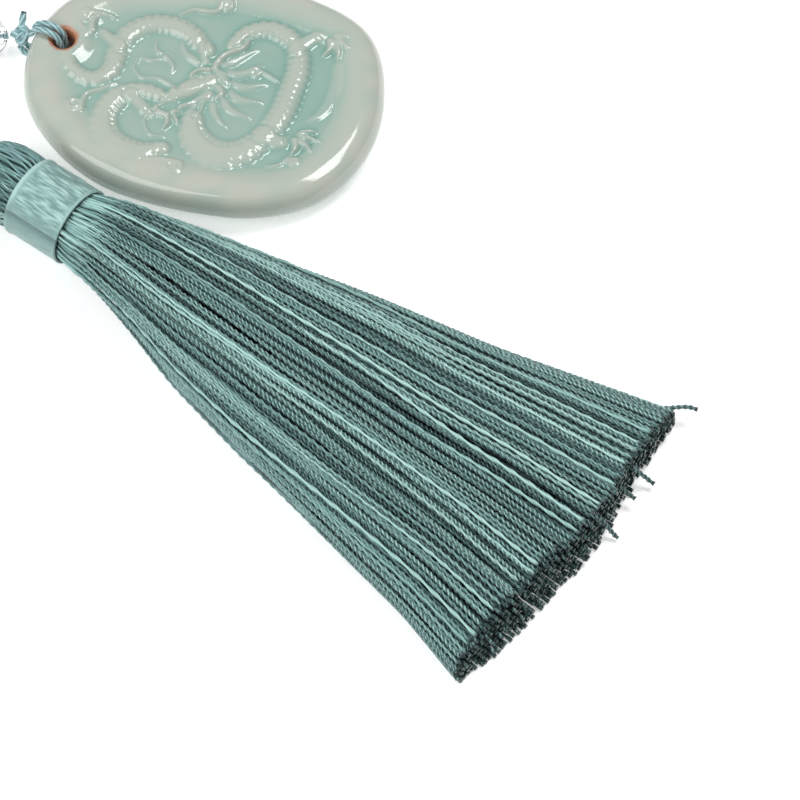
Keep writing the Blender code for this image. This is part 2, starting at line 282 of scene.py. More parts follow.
class NodeSheet:
    """A node tree that is written one node at a time."""

    def __init__(self, tree: bpy.types.NodeTree) -> None:
        """Keep the tree that is written to."""
        self.tree = tree

    def add(self, kind: str, links: Optional[dict] = None, **settings: object) -> bpy.types.Node:
        """Add a node, set it and link its inputs.

        Args:
            kind: Blender's name of the node.
            links: Input name or number to an output socket or a value.
            settings: Properties of the node.

        Returns:
            The node.
        """
        node = self.tree.nodes.new(kind)
        for name, value in settings.items():
            setattr(node, name, value)
        for key, value in (links or {}).items():
            if isinstance(value, bpy.types.NodeSocket):
                self.tree.links.new(value, node.inputs[key])
            else:
                node.inputs[key].default_value = value
        return node

    def math(self, operation: str, first: object, second: object = 0.0,
             third: object = 0.0) -> bpy.types.NodeSocket:
        """Add a math node and give its result.

        Args:
            operation: Name of the node's operation.
            first: First value or socket.
            second: Second value or socket.
            third: Third value or socket.

        Returns:
            The node's result.
        """
        kind = "ShaderNodeMath"
        node = self.add(kind, {0: first, 1: second, 2: third}, operation=operation)
        return node.outputs[0]

    def value(self, name: str) -> bpy.types.NodeSocket:
        """Read a number that the mesh carries."""
        return self.add("ShaderNodeAttribute", attribute_name=name).outputs["Fac"]

    def vector(self, name: str) -> bpy.types.NodeSocket:
        """Read a vector that the mesh carries."""
        return self.add("ShaderNodeAttribute", attribute_name=name).outputs["Vector"]

    def ramp(self, factor: bpy.types.NodeSocket, stops: Sequence[tuple]) -> bpy.types.NodeSocket:
        """Colour a factor by stops.

        Args:
            factor: What is read.
            stops: Pairs of place and colour.

        Returns:
            The colour.
        """
        node = self.add("ShaderNodeValToRGB", {0: factor})
        band = node.color_ramp
        while len(band.elements) < len(stops):
            band.elements.new(0.5)
        for element, (place, colour) in zip(band.elements, stops):
            element.position = place
            element.color = colour
        return node.outputs[0]

    def mix(self, factor: object, first: object, second: object, blend: str = "MIX") -> bpy.types.NodeSocket:
        """Blend two colours.

        Args:
            factor: Share of the second.
            first: First colour or socket.
            second: Second colour or socket.
            blend: Way of blending.

        Returns:
            The colour.
        """
        node = self.add("ShaderNodeMix", {0: factor, 6: first, 7: second}, data_type="RGBA", blend_type=blend)
        return node.outputs[2]

    def bump(self, height: bpy.types.NodeSocket, strength: float, distance: float) -> bpy.types.NodeSocket:
        """Turn a height into a bumped normal."""
        node = self.add("ShaderNodeBump", {"Height": height, "Strength": strength, "Distance": distance})
        return node.outputs[0]


def start_material(name: str, shader: dict) -> tuple[bpy.types.Material, NodeSheet, bpy.types.Node]:
    """Begin a material with its constant shader values.

    Args:
        name: Name of the material.
        shader: Input name to value on the Principled shader.

    Returns:
        The material, its node sheet and its shader.
    """
    look = bpy.data.materials.new(name)
    look.use_nodes = True
    sheet = NodeSheet(look.node_tree)
    node = look.node_tree.nodes["Principled BSDF"]
    for key, value in shader.items():
        node.inputs[key].default_value = value
    return look, sheet, node


@dataclass(frozen=True)
class YarnFinish:
    """Shiny dyed yarn, with a painted highlight on the crest of each ply, painted shade in the line
    between the plies, and darker cut ends.

    Attributes:
        name: Name of the material.
        deep: Colour of the darkest yarns.
        middle: Colour of most yarns.
        light: Colour of the lightest yarns, also of the painted highlight on the ply crests.
        shade: Colour of the painted shade between the plies, also laid on the darker cut ends.
        roughness: Roughness of the fibre.
        groove: Strength of the painted shade in the line between two plies.
    """

    name: str
    deep: tuple = srgb(0.33, 0.44, 0.45)
    middle: tuple = srgb(0.47, 0.60, 0.60)
    light: tuple = srgb(0.72, 0.85, 0.83)
    shade: tuple = srgb(0.06, 0.11, 0.12)
    roughness: float = 0.3
    groove: float = 1.15

    def material(self) -> bpy.types.Material:
        """Build the yarn's material.

        Returns:
            The material.
        """
        look, sheet, shader = start_material(self.name, {
            "Roughness": self.roughness, "Specular IOR Level": 0.9, "Sheen Weight": 0.15,
            "Sheen Roughness": 0.4,
            "Specular Tint": self.light})
        pressed = sheet.value("pressed")
        # Painted sheen: pressed yarn is drawn lighter.
        shown = sheet.math("MULTIPLY_ADD", pressed, 0.3, sheet.value("tone"))
        tone = sheet.ramp(shown, ((0.0, self.deep), (0.5, self.middle), (1.0, self.light)))
        fibre = sheet.add("ShaderNodeSeparateXYZ", {0: sheet.vector("fibre")})
        drawn = sheet.add("ShaderNodeCombineXYZ", {
            0: sheet.math("MULTIPLY", fibre.outputs[0], 3.0),
            1: sheet.math("MULTIPLY", fibre.outputs[1], 3.0),
            2: sheet.math("MULTIPLY", fibre.outputs[2], 700.0)})
        grain = sheet.add("ShaderNodeTexNoise", {"Vector": drawn.outputs[0], "Scale": 1.6, "Detail": 2.0})
        streaked = sheet.mix(sheet.math("MULTIPLY", grain.outputs[0], 0.5), tone, self.light, "OVERLAY")
        # Painted shade in the line between the plies, weaker on pressed yarn.
        plain = sheet.math("MULTIPLY_ADD", pressed, -0.75, 1.0)
        depth = sheet.math("MULTIPLY", sheet.math("MULTIPLY", sheet.value("groove"), self.groove), plain)
        # Painted highlight along the crest of each ply.
        crest = sheet.math("MULTIPLY", sheet.math("SUBTRACT", 0.3, sheet.value("groove")), 1.6)
        bright = sheet.mix(sheet.add("ShaderNodeClamp", {0: crest}).outputs[0], streaked, self.light)
        groove_shade = sheet.add("ShaderNodeClamp", {0: sheet.math("SUBTRACT", depth, 0.12)})
        plied = sheet.mix(groove_shade.outputs[0], bright, self.shade)
        tipped = sheet.mix(sheet.math("MULTIPLY", sheet.value("tip"), 0.85), plied, self.shade)
        sheet.tree.links.new(tipped, shader.inputs["Base Color"])
        sheet.tree.links.new(sheet.bump(grain.outputs[0], 0.25, 0.0001), shader.inputs["Normal"])
        return look


@dataclass(frozen=True)
class RibbonFinish:
    """Satin ribbon: fine threads across, a painted highlight where it stands up and painted shade where it
    turns under.
    """

    name: str = "satin_ribbon_look"
    base: tuple = srgb(0.46, 0.58, 0.575)
    bright: tuple = srgb(0.72, 0.84, 0.82)
    shade: tuple = srgb(0.17, 0.29, 0.30)
    roughness: float = 0.38

    def material(self) -> bpy.types.Material:
        """Build the ribbon's material.

        Returns:
            The material.
        """
        look, sheet, shader = start_material(self.name, {
            "Roughness": self.roughness, "Specular IOR Level": 0.6, "Sheen Weight": 0.3,
            "Sheen Roughness": 0.35})
        cloth = sheet.vector("cloth")
        threads = sheet.add("ShaderNodeMapping", {"Vector": cloth, "Scale": (9.0, 1.1, 1.0)})
        weave = sheet.add("ShaderNodeTexNoise", {"Vector": threads.outputs[0], "Scale": 1.0, "Detail": 4.0})
        fine = sheet.add("ShaderNodeMapping", {"Vector": cloth, "Scale": (2.0, 22.0, 1.0)})
        weft = sheet.add("ShaderNodeTexNoise", {"Vector": fine.outputs[0], "Scale": 1.0, "Detail": 2.0})
        # Painted highlight from lift on the raised cloth; painted shade from shade where the band turns away.
        lift = sheet.value("lift")
        with_painted_highlight = sheet.mix(lift, self.base, self.bright)
        woven = sheet.mix(sheet.math("MULTIPLY", weave.outputs[0], 0.55), with_painted_highlight, self.bright, "OVERLAY")
        shaded = sheet.mix(sheet.value("shade"), woven, self.shade)
        height = sheet.math("MULTIPLY_ADD", weft.outputs[0], 0.35, weave.outputs[0])
        sheet.tree.links.new(shaded, shader.inputs["Base Color"])
        sheet.tree.links.new(sheet.bump(height, 0.9, 0.00016), shader.inputs["Normal"])
        return look


@dataclass(frozen=True)
class GlazeFinish:
    """Celadon glaze: cream where it runs thin, green where it pools, painted shade on the side walls, bare clay
    round the hole and darker brown inside it.
    """

    name: str = "celadon_glaze_look"
    thin: tuple = srgb(0.715, 0.73, 0.69)
    middle: tuple = srgb(0.65, 0.71, 0.67)
    pooled: tuple = srgb(0.55, 0.67, 0.63)
    deepest: tuple = srgb(0.46, 0.61, 0.57)
    clay: tuple = srgb(0.74, 0.47, 0.33)
    hole_and_foot_dark: tuple = srgb(0.24, 0.15, 0.11)
    roughness: float = 0.11

    def material(self) -> bpy.types.Material:
        """Build the glaze's material.

        Returns:
            The material.
        """
        look, sheet, shader = start_material(self.name, {
            "Specular IOR Level": 0.4, "IOR": 1.5, "Coat Weight": 0.22, "Coat Roughness": 0.06,
            "Coat IOR": 1.5})
        place = sheet.add("ShaderNodeTexCoord").outputs["Object"]
        cloudy = sheet.add("ShaderNodeTexNoise", {"Vector": place, "Scale": 170.0, "Detail": 3.0})
        speck = sheet.add("ShaderNodeTexNoise", {"Vector": place, "Scale": 1500.0, "Detail": 2.0})
        wander = sheet.math("MULTIPLY_ADD", cloudy.outputs[0], 0.16, -0.08)
        pool_and_side_shade = sheet.math("ADD", sheet.value("pool_and_side_shade"), wander)
        glazed = sheet.ramp(pool_and_side_shade, (
            (0.0, self.thin), (0.34, self.middle), (0.72, self.pooled), (1.0, self.deepest)))
        flecked = sheet.mix(sheet.math("MULTIPLY", speck.outputs[0], 0.12), glazed, self.thin, "SOFT_LIGHT")
        ring = sheet.mix(sheet.value("clay"), flecked, self.clay)
        # Darker brown inside the hole and a little on the foot.
        hole_and_foot_dark = sheet.mix(sheet.value("hole_and_foot_dark"), ring, self.hole_and_foot_dark)
        rough = sheet.math("MULTIPLY_ADD", sheet.value("clay"), 0.55, self.roughness)
        sheet.tree.links.new(hole_and_foot_dark, shader.inputs["Base Color"])
        sheet.tree.links.new(rough, shader.inputs["Roughness"])
        sheet.tree.links.new(sheet.bump(cloudy.outputs[0], 0.12, 0.0004), shader.inputs["Normal"])
        return look


@dataclass(frozen=True)
class GlassFinish:
    """Clear colourless glass with a faintly worn skin."""

    name: str = "clear_glass_look"
    tint: tuple = srgb(0.97, 0.985, 0.985)

    def material(self) -> bpy.types.Material:
        """Build the glass's material.

        Returns:
            The material.
        """
        look, sheet, shader = start_material(self.name, {
            "Base Color": self.tint, "Transmission Weight": 1.0, "IOR": 1.5, "Roughness": 0.02})
        place = sheet.add("ShaderNodeTexCoord").outputs["Object"]
        worn = sheet.add("ShaderNodeTexNoise", {"Vector": place, "Scale": 420.0, "Detail": 2.0})
        sheet.tree.links.new(sheet.bump(worn.outputs[0], 0.05, 0.0002), shader.inputs["Normal"])
        return look


@dataclass(frozen=True)
class TableFinish:
    """Plain pale table top."""

    colour: tuple = (0.94, 0.94, 0.94, 1.0)
    glow: float = 0.4

    def material(self) -> bpy.types.Material:
        """Build the table's material."""
        look, _, _ = start_material("table_top", {
            "Base Color": self.colour, "Roughness": 0.9, "Specular IOR Level": 0.1,
            "Emission Color": self.colour, "Emission Strength": self.glow})
        return look


class TwistedYarn:
    """Geometry Nodes tree that lays plied yarn along paths.

    Each path is an edge chain that carries its radius, its tone with painted shade and light, and its
    cut-end mark. The plies turn at a fixed length, and the line between two of them is marked for the
    material's painted shade and highlight.
    """

    inputs = (
        ("Turn length", "NodeSocketFloat"), ("Ring spacing", "NodeSocketFloat"), ("Plies", "NodeSocketInt"),
        ("Profile points", "NodeSocketInt"), ("Groove depth", "NodeSocketFloat"),
        ("Even rings", "NodeSocketBool"),
        ("Finish", "NodeSocketMaterial"),
    )

    def __init__(self) -> None:
        """Write the tree."""
        self.tree = bpy.data.node_groups.new("twisted_yarn", "GeometryNodeTree")
        self.tree.is_modifier = True
        face = self.tree.interface
        face.new_socket("Paths", in_out="INPUT", socket_type="NodeSocketGeometry")
        self.keys = {name: face.new_socket(name, in_out="INPUT", socket_type=kind).identifier
                     for name, kind in self.inputs}
        face.new_socket("Yarn", in_out="OUTPUT", socket_type="NodeSocketGeometry")
        self._write()

    def _write(self) -> None:
        """Lay out the tree's nodes."""
        s = NodeSheet(self.tree)
        given = s.add("NodeGroupInput").outputs
        lines = s.add("GeometryNodeMeshToCurve", {"Mesh": given["Paths"]})
        even = s.add("GeometryNodeResampleCurve", {"Curve": lines.outputs[0], "Length": given["Ring spacing"]},
                     mode="LENGTH")
        read = s.add("GeometryNodeSwitch", {"Switch": given["Even rings"], "False": lines.outputs[0],
                                            "True": even.outputs[0]}, input_type="GEOMETRY")
        thick = s.add("GeometryNodeInputNamedAttribute", {"Name": "thick"}, data_type="FLOAT").outputs[0]
        sized = s.add("GeometryNodeSetCurveRadius", {"Curve": read.outputs[0], "Radius": thick})
        run = s.add("GeometryNodeSplineParameter").outputs["Length"]
        laid = s.add("GeometryNodeInputNamedAttribute", {"Name": "laid"}, data_type="FLOAT").outputs[0]
        begin = s.add("GeometryNodeInputNamedAttribute", {"Name": "begin"}, data_type="FLOAT").outputs[0]
        turned = s.math("MULTIPLY_ADD", s.math("DIVIDE", laid, given["Turn length"]), TAU, begin)
        tilted = s.add("GeometryNodeSetCurveTilt", {"Curve": sized.outputs[0], "Tilt": turned})
        along = s.add("GeometryNodeStoreNamedAttribute",
                      {"Geometry": tilted.outputs[0], "Name": "along", "Value": run}, data_type="FLOAT")
        ring = s.add("GeometryNodeCurvePrimitiveCircle",
                     {"Resolution": given["Profile points"], "Radius": 1.0}, mode="RADIUS")
        place = s.add("GeometryNodeInputPosition").outputs[0]
        flat = s.add("ShaderNodeSeparateXYZ", {0: place})
        angle = s.math("ARCTAN2", flat.outputs[1], flat.outputs[0])
        wave = s.math("COSINE", s.math("MULTIPLY", angle, given["Plies"]))
        groove = s.math("MULTIPLY_ADD", wave, -0.5, 0.5)
        marked = s.add("GeometryNodeStoreNamedAttribute",
                       {"Geometry": ring.outputs[0], "Name": "groove", "Value": groove}, data_type="FLOAT")
        faced = s.add("GeometryNodeStoreNamedAttribute",
                      {"Geometry": marked.outputs[0], "Name": "facing", "Value": place}, data_type="FLOAT_VECTOR")
        dent = s.math("MULTIPLY_ADD", s.math("MULTIPLY", groove, given["Groove depth"]), -1.0, 1.0)
        scaled = s.add("ShaderNodeVectorMath", {0: place, "Scale": dent}, operation="SCALE")
        lobed = s.add("GeometryNodeSetPosition", {"Geometry": faced.outputs[0], "Position": scaled.outputs[0]})
        swept = s.add("GeometryNodeCurveToMesh", {
            "Curve": along.outputs[0], "Profile Curve": lobed.outputs[0], "Fill Caps": True})
        if "Scale" in swept.inputs:
            self.tree.links.new(s.add("GeometryNodeInputRadius").outputs[0], swept.inputs["Scale"])
        smooth = s.add("GeometryNodeSetShadeSmooth", {"Geometry": swept.outputs[0]})
        real = s.add("GeometryNodeRealizeInstances", {"Geometry": smooth.outputs[0]})
        dressed = s.add("GeometryNodeSetMaterial", {"Geometry": real.outputs[0], "Material": given["Finish"]})
        s.add("NodeGroupOutput", {0: dressed.outputs[0]})

    def lay(self, name: str, paths: Sequence["YarnPath"], spec: "YarnSpec", look: bpy.types.Material,
            layout: Layout) -> bpy.types.Object:
        """Lay yarn along paths.

        Args:
            name: Name of the piece.
            paths: The paths in layout millimetres.
            spec: How the yarn is plied.
            look: Its material.
            layout: The layout.

        Returns:
            The piece, a plain mesh at the origin.
        """
        points = np.concatenate([p.points for p in paths])
        counts = [len(p.points) for p in paths]
        firsts = np.concatenate([[0], np.cumsum(counts)[:-1]])
        edges = np.concatenate([np.stack([np.arange(n - 1) + f, np.arange(n - 1) + f + 1], -1)
                                for n, f in zip(counts, firsts)])
        mesh = bpy.data.meshes.new(name + "_paths")
        mesh.vertices.add(len(points))
        mesh.vertices.foreach_set("co", layout.place(points).astype(np.float32).ravel())
        mesh.edges.add(len(edges))
        mesh.edges.foreach_set("vertices", edges.astype(np.int32).ravel())
        guide = bpy.data.objects.new(name + "_paths", mesh)
        bpy.context.scene.collection.objects.link(guide)
        Shape.mark(guide, "thick", np.concatenate([p.radius for p in paths]) * MM)
        Shape.mark(guide, "tone", np.concatenate([np.full(n, p.tone) for n, p in zip(counts, paths)]))
        Shape.mark(guide, "begin", np.concatenate([np.full(n, p.begin) for n, p in zip(counts, paths)]))
        Shape.mark(guide, "tip", np.concatenate([p.tip for p in paths]))
        Shape.mark(guide, "pressed", np.concatenate([p.pressed for p in paths]))
        Shape.mark(guide, "laid", np.concatenate([p.laid() for p in paths]) * MM)
        grown = guide.modifiers.new("yarn", "NODES")
        grown.node_group = self.tree
        values = {"Turn length": spec.turn * MM, "Ring spacing": spec.spacing * MM, "Plies": spec.plies,
                  "Profile points": spec.sides, "Groove depth": spec.groove,
                  "Even rings": spec.spacing > 0, "Finish": look}
        for key, value in values.items():
            grown[self.keys[key]] = value
        bpy.context.view_layer.update()
        result = bpy.data.meshes.new_from_object(guide.evaluated_get(bpy.context.evaluated_depsgraph_get()))
        bpy.data.objects.remove(guide, do_unlink=True)
        result.name = name
        self._fibre(result)
        made = bpy.data.objects.new(name, result)
        bpy.context.scene.collection.objects.link(made)
        return made

    @staticmethod
    def _fibre(mesh: bpy.types.Mesh) -> None:
        """Join the place round the yarn and the length along it into one vector.

        Args:
            mesh: The mesh, which has both as attributes.
        """
        count = len(mesh.vertices)
        facing = np.zeros(count * 3, np.float32)
        mesh.attributes["facing"].data.foreach_get("vector", facing)
        along = np.zeros(count, np.float32)
        mesh.attributes["along"].data.foreach_get("value", along)
        fibre = facing.reshape(-1, 3)
        fibre[:, 2] = along
        layer = mesh.attributes.new("fibre", "FLOAT_VECTOR", "POINT")
        layer.data.foreach_set("vector", fibre.ravel())
        for spare in ("facing", "along", "thick", "begin", "laid"):
            if spare in mesh.attributes:
                mesh.attributes.remove(mesh.attributes[spare])


@dataclass(frozen=True)
class YarnSpec:
    """How a yarn is plied, in millimetres.

    Attributes:
        turn: Length of one turn of the plies.
        spacing: Distance between two rings of corners, 0 for the path's own points.
        plies: Number of plies.
        sides: Corners round the yarn.
        groove: Depth of the line between plies, as a share of the radius.
    """

    turn: float
    spacing: float
    plies: int
    sides: int
    groove: float


@dataclass
class YarnPath:
    """One yarn's middle line.

    Attributes:
        points: Points in layout millimetres.
        radius: Radius at each point.
        tone: How light the yarn is, from 0 to 1: its own tone, lowered as painted shade on
            yarns that lie deep and raised as painted light on the head's lit side.
        begin: Angle at which its plies start.
        tip: How dark each point is, 1 at a cut end.
        pressed: How flat the yarn is pressed at each point, from 0 to 1; pressed yarn is drawn lighter as a
            painted sheen, with less painted shade between its plies.
        twist: How fast the plies turn at each point, 1 for one turn to a turn length.
    """

    points: np.ndarray
    radius: np.ndarray
    tone: float = 0.5
    begin: float = 0.0
    tip: Optional[np.ndarray] = None
    pressed: Optional[np.ndarray] = None
    twist: Optional[np.ndarray] = None

    def __post_init__(self) -> None:
        """Leave a yarn without marks and evenly twisted where nothing is given."""
        blank = np.zeros(len(self.points))
        self.tip = blank if self.tip is None else self.tip
        self.pressed = blank if self.pressed is None else self.pressed
        self.twist = blank + 1 if self.twist is None else self.twist

    def laid(self) -> np.ndarray:
        """Length at each point, counted by how fast the plies turn."""
        step = np.linalg.norm(np.diff(self.points, axis=0), axis=1)
        return np.concatenate([[0.0], np.cumsum(step * (self.twist[1:] + self.twist[:-1]) / 2)])

    @classmethod
    def even(cls, points: np.ndarray, radius: float, tone: float = 0.5, begin: float = 0.0) -> "YarnPath":
        """Make a path of one radius with no cut end."""
        return cls(points, np.full(len(points), radius), tone, begin)


def tassel_frame(along: np.ndarray, lateral: np.ndarray, height: np.ndarray) -> np.ndarray:
    """Turn places along, across and above the tassel into layout points.

    Args:
        along: Distance from the neck's end towards the yarn ends.
        lateral: Distance to the tassel's left.
        height: Height above the table.

    Returns:
        Layout points, one row each.
    """
    c, s = math.cos(TASSEL_TURN), math.sin(TASSEL_TURN)
    x = TASSEL_NECK[0] + c * along - s * lateral
    y = TASSEL_NECK[1] + s * along + c * lateral
    return np.stack(np.broadcast_arrays(x, y, height), -1)


@dataclass
class Skirt:
    """The tassel's fanned yarns.

    Attributes:
        upper: Outline of the fan on its left, as pairs of distance along and across.
        lower: Outline of the fan on its right.
        crown: Height of the pile along its middle.
        cut_top: Where the top yarns are cut, as pairs of distance across and along.
        cut_low: Where the lowest yarns are cut.
        wrap: Angle from the top over which plied yarns cover the round neck.
        columns: Yarns side by side in the top layer.
        under_rows: Layers of plain yarns under the plied ones.
        radius: Radius of a yarn at its end.
        strays: Long yarns, as distance along and across of their ends, height and bend.
        seed: Seed of the yarns' scatter.
    """

    upper: tuple = ((-0.6, 5.3), (0.5, 5.8), (3.0, 6.9), (5.65, 8.0), (12.76, 10.0), (27.5, 14.0), (42.4, 17.5),
                    (57.5, 20.6), (72.0, 24.1), (81.8, 26.6), (90.0, 28.9))
    lower: tuple = ((-0.6, -5.3), (0.5, -5.75), (3.0, -6.1), (6.0, -6.5), (9.0, -7.0), (13.0, -7.6), (17.0, -8.4),
                    (23.4, -9.9), (30.0, -11.5), (38.5, -13.6), (46.8, -15.3), (55.0, -17.1), (63.0, -18.9),
                    (71.0, -20.6), (78.0, -22.8), (83.5, -24.6), (90.0, -26.2))
    crown: tuple = ((-0.6, 11.3), (0.5, 11.8), (3.0, 11.95), (8.0, 11.6), (18.0, 10.6), (30.0, 9.6), (56.0, 8.6),
                    (90.0, 7.8))
    cut_top: tuple = ((-25.0, 82.2), (-20.0, 82.6), (-16.0, 83.0), (-11.5, 83.7), (-6.0, 84.1), (0.0, 85.2),
                      (8.0, 85.3), (17.0, 84.2), (24.0, 83.6), (28.0, 83.0))
    cut_low: tuple = ((-25.0, 83.6), (-19.0, 85.1), (-13.0, 85.8), (-5.0, 86.4), (4.0, 86.8), (9.0, 85.7),
                      (17.0, 84.6), (24.0, 84.2), (28.0, 83.4))
    wrap: float = math.radians(128.0)
    columns: int = 80
    under_rows: int = 6
    radius: float = 0.325
    strays: tuple = ((86.0, 28.4, 3.2, 0.3), (87.4, 16.1, 1.2, 0.2), (88.2, 6.4, 0.7, -0.5), (86.8, 1.6, 2.2, 0.3),
                     (86.9, 12.2, 2.0, -0.3))
    seed: int = 7
    top_yarn: YarnSpec = YarnSpec(1.7, 0.34, 2, 6, 0.5)
    under_yarn: YarnSpec = YarnSpec(1.7, 0.0, 1, 5, 0.0)

    def __post_init__(self) -> None:
        """Tabulate the pile's skin, for every distance along and share of its arc."""
        self.stations = np.linspace(-1.0, 90.0, 92)
        self.shares = np.linspace(-1.0, 1.0, 81)
        s = self.stations[:, None]
        high, low, top = (np.interp(s, *np.array(table).T) for table in (self.upper, self.lower, self.crown))
        middle, half = (high + low) / 2, (high - low) / 2
        turn = np.linspace(-1.0, 1.0, 161)[None, :]
        ring = (middle + half * np.sin(turn * self.wrap),
                TASSEL_Z + (top - TASSEL_Z) * np.cos(turn * self.wrap))
        across, rise = np.sin(turn * math.pi / 2), np.cos(turn * math.pi / 2)
        pile = (middle + half * np.sign(across) * abs(across) ** 0.85, top * np.maximum(rise, 0.0) ** 0.6)
        flat = smooth_step(1.0, 26.0, s)
        parts = []
        for first, second in (ring, pile):
            step = np.hypot(np.diff(first, axis=1), np.diff(second, axis=1))
            run = np.concatenate([np.zeros((len(s), 1)), np.cumsum(step, axis=1)], axis=1)
            run = run / run[:, -1:] * 2 - 1
            parts.append([np.stack([np.interp(self.shares, r, row) for r, row in zip(run, table)])
                          for table in (first, second)])
        self.skin = [a * (1 - flat) + b * flat for a, b in zip(*parts)]
        self.flat = flat[:, 0]

    def _skin(self, s: np.ndarray, x: np.ndarray) -> tuple[np.ndarray, np.ndarray]:
        """Read the pile's skin.

        Args:
            s: Distance along.
            x: Share of the arc, from -1 on its right to 1 on its left.

        Returns:
            Distance across and height.
        """
        r = np.clip(s - self.stations[0], 0, len(self.stations) - 1.001)
        c = np.clip((x + 1) * 40, 0, 79.999)
        r0, c0 = r.astype(int), c.astype(int)
        tr, tc = r - r0, c - c0
        found = []
        for table in self.skin:
            low = table[r0, c0] * (1 - tc) + table[r0, c0 + 1] * tc
            high = table[r0 + 1, c0] * (1 - tc) + table[r0 + 1, c0 + 1] * tc
            found.append(low * (1 - tr) + high * tr)
        return found[0], found[1]

    def _path(self, x: np.ndarray, s: np.ndarray, depth: float, sink: np.ndarray, tone: float, sleek: float,
              chance: np.random.Generator) -> YarnPath:
        """Trace one yarn from the neck to its cut end.

        Args:
            x: Share of the arc at each point.
            s: Distance along at each point.
            depth: Depth under the skin, as a share of the way to the pile's core.
            sink: Extra depth at each point, in millimetres.
            tone: How light the yarn is, with painted shade on yarns that lie deep.
            sleek: How flat the yarn is pressed over all its length, which also lightens it as a painted sheen.
            chance: Source of the scatter.

        Returns:
            The path.
        """
        lateral, height = self._skin(s, x)
        flat = np.interp(s, self.stations, self.flat)
        middle = (np.interp(s, *np.array(self.upper).T) + np.interp(s, *np.array(self.lower).T)) / 2
        core_across = middle * (1 - flat) + lateral * 0.97 * flat
        core_height = TASSEL_Z * (1 - flat) + 0.3 * flat
        thick = self.radius * (0.76 + 0.24 * smooth_step(0.0, 35.0, s))
        away = np.hypot(lateral - core_across, height - core_height) + 1e-6
        share = np.clip(depth + (sink + thick) / away, 0.0, 1.0)
        lateral = lateral + share * (core_across - lateral)
        height = np.maximum(height + share * (core_height - height), thick + 0.02)
        tip = smooth_step(s[-1] - 0.45, s[-1] - 0.1, s)
        pressed = 1 - (1 - sleek) * smooth_step(1.0, 6.5 + 3.5 * chance.random(), s)
        rate = chance.uniform(0.75, 1.2) * (1 - 0.85 * pressed)
        points = tassel_frame(s, lateral, height)
        return YarnPath(points, thick, tone, chance.uniform(0, TAU), tip, pressed, rate)

    def _cut(self, x: float, depth: float, chance: np.random.Generator) -> float:
        """Distance along at which a yarn is cut.

        Args:
            x: Share of the arc.
            depth: Depth in the pile, from 0 to 1.
            chance: Source of the scatter.

        Returns:
            The distance.
        """
        across = float(self._skin(np.array([84.0]), np.array([x]))[0][0])
        high, low = (float(np.interp(across, *np.array(table).T)) for table in (self.cut_top, self.cut_low))
        down = min(1.0, depth + 0.9 * abs(x) ** 8)
        return high + (low - high) * down + float(np.clip(chance.normal(0.0, 0.22), -0.5, 0.7))

    @staticmethod
    def _spots(end: float, start: float = -0.5) -> np.ndarray:
        """Distances along at which a yarn is drawn, close together at both ends."""
        return np.concatenate([np.linspace(start, 12.0, 9), np.linspace(15.0, end - 2.0, 24),
                               [end - 0.8, end - 0.4, end - 0.15, end]])

    def top_paths(self) -> list[YarnPath]:
        """Trace the plied yarns that show: two layers, crossing yarns and strays.

        Returns:
            The paths, side by side in order.
        """
        chance = np.random.default_rng(self.seed)
        found = []
        pitch = 2 / self.columns
        for layer in (0, 1):
            home = (np.arange(self.columns) + 0.5 + 0.5 * layer) / (self.columns + 0.5) * 2 - 1
            clump = np.cumsum(chance.random(self.columns) < 0.28)
            centre = np.array([home[clump == c].mean() for c in clump])
            clumps = clump.max() + 1
            pull, roam = chance.uniform(0.15, 0.62, clumps), chance.normal(0, 0.8, clumps) * pitch
            wave, start = chance.uniform(8, 20, clumps), chance.uniform(0, TAU, clumps)
            lift, spot = chance.uniform(0.0, 0.5, clumps), chance.uniform(10, 60, clumps)
            for k in range(self.columns):
                c = clump[k]
                x_end = home[k] + chance.normal(0, 0.12) * pitch
                s = self._spots(self._cut(x_end, 0.12 * layer, chance))
                free = smooth_step(3.0, 18.0, s) * (1 - 0.85 * smooth_step(48.0, 84.0, s))
                gather = pull[c] * smooth_step(1.0, 9.0, s) * (1 - 0.85 * smooth_step(35.0, 84.0, s))
                x = x_end + (centre[k] - x_end) * gather + roam[c] * np.sin(s / wave[c] + start[c]) * free
                sway = chance.normal(0, 0.2) * pitch
                x = x + sway * np.sin(s / chance.uniform(9, 22) + chance.uniform(0, TAU)) * free
                sink = 0.55 * ((k + layer) % 2) + 0.35 * chance.random()
                sink = sink * np.exp(-s / chance.uniform(6, 16)) + abs(chance.normal(0, 0.15))
                sink = sink - lift[c] * np.exp(-((s - spot[c]) / 16.0) ** 2) * free
                if layer == 0 and chance.random() < 0.24:
                    begin, reach = chance.uniform(2, 45), chance.uniform(18, 42)
                    x = x + chance.choice((-1.0, 1.0)) * chance.uniform(0.8, 2.2) * pitch * (
                        smooth_step(begin, begin + reach, s) - 0.5)
                    sink = sink - 0.4 * np.exp(-((s - begin - reach / 2) / reach) ** 2)
                sleek = float(chance.choice((0.0, 0.4, 0.85), p=(0.55, 0.27, 0.18)))
                # Painted shade: the lower layer of plied yarns gets a darker tone; painted sheen: sleek yarns get a
                # lighter one.
                tone = float(np.clip(chance.normal(0.5 - 0.36 * layer + 0.18 * sleek, 0.22), 0, 1))
                path = self._path(np.clip(x, -1, 1), s, 0.0, sink + 0.95 * layer, tone, sleek, chance)
                found.append((x_end, path))
        for along, across, height, bend in self.strays:
            found.append((across / 27.0, self._stray(along, across, height, bend, chance)))
        return [path for _, path in sorted(found, key=lambda pair: pair[0])]

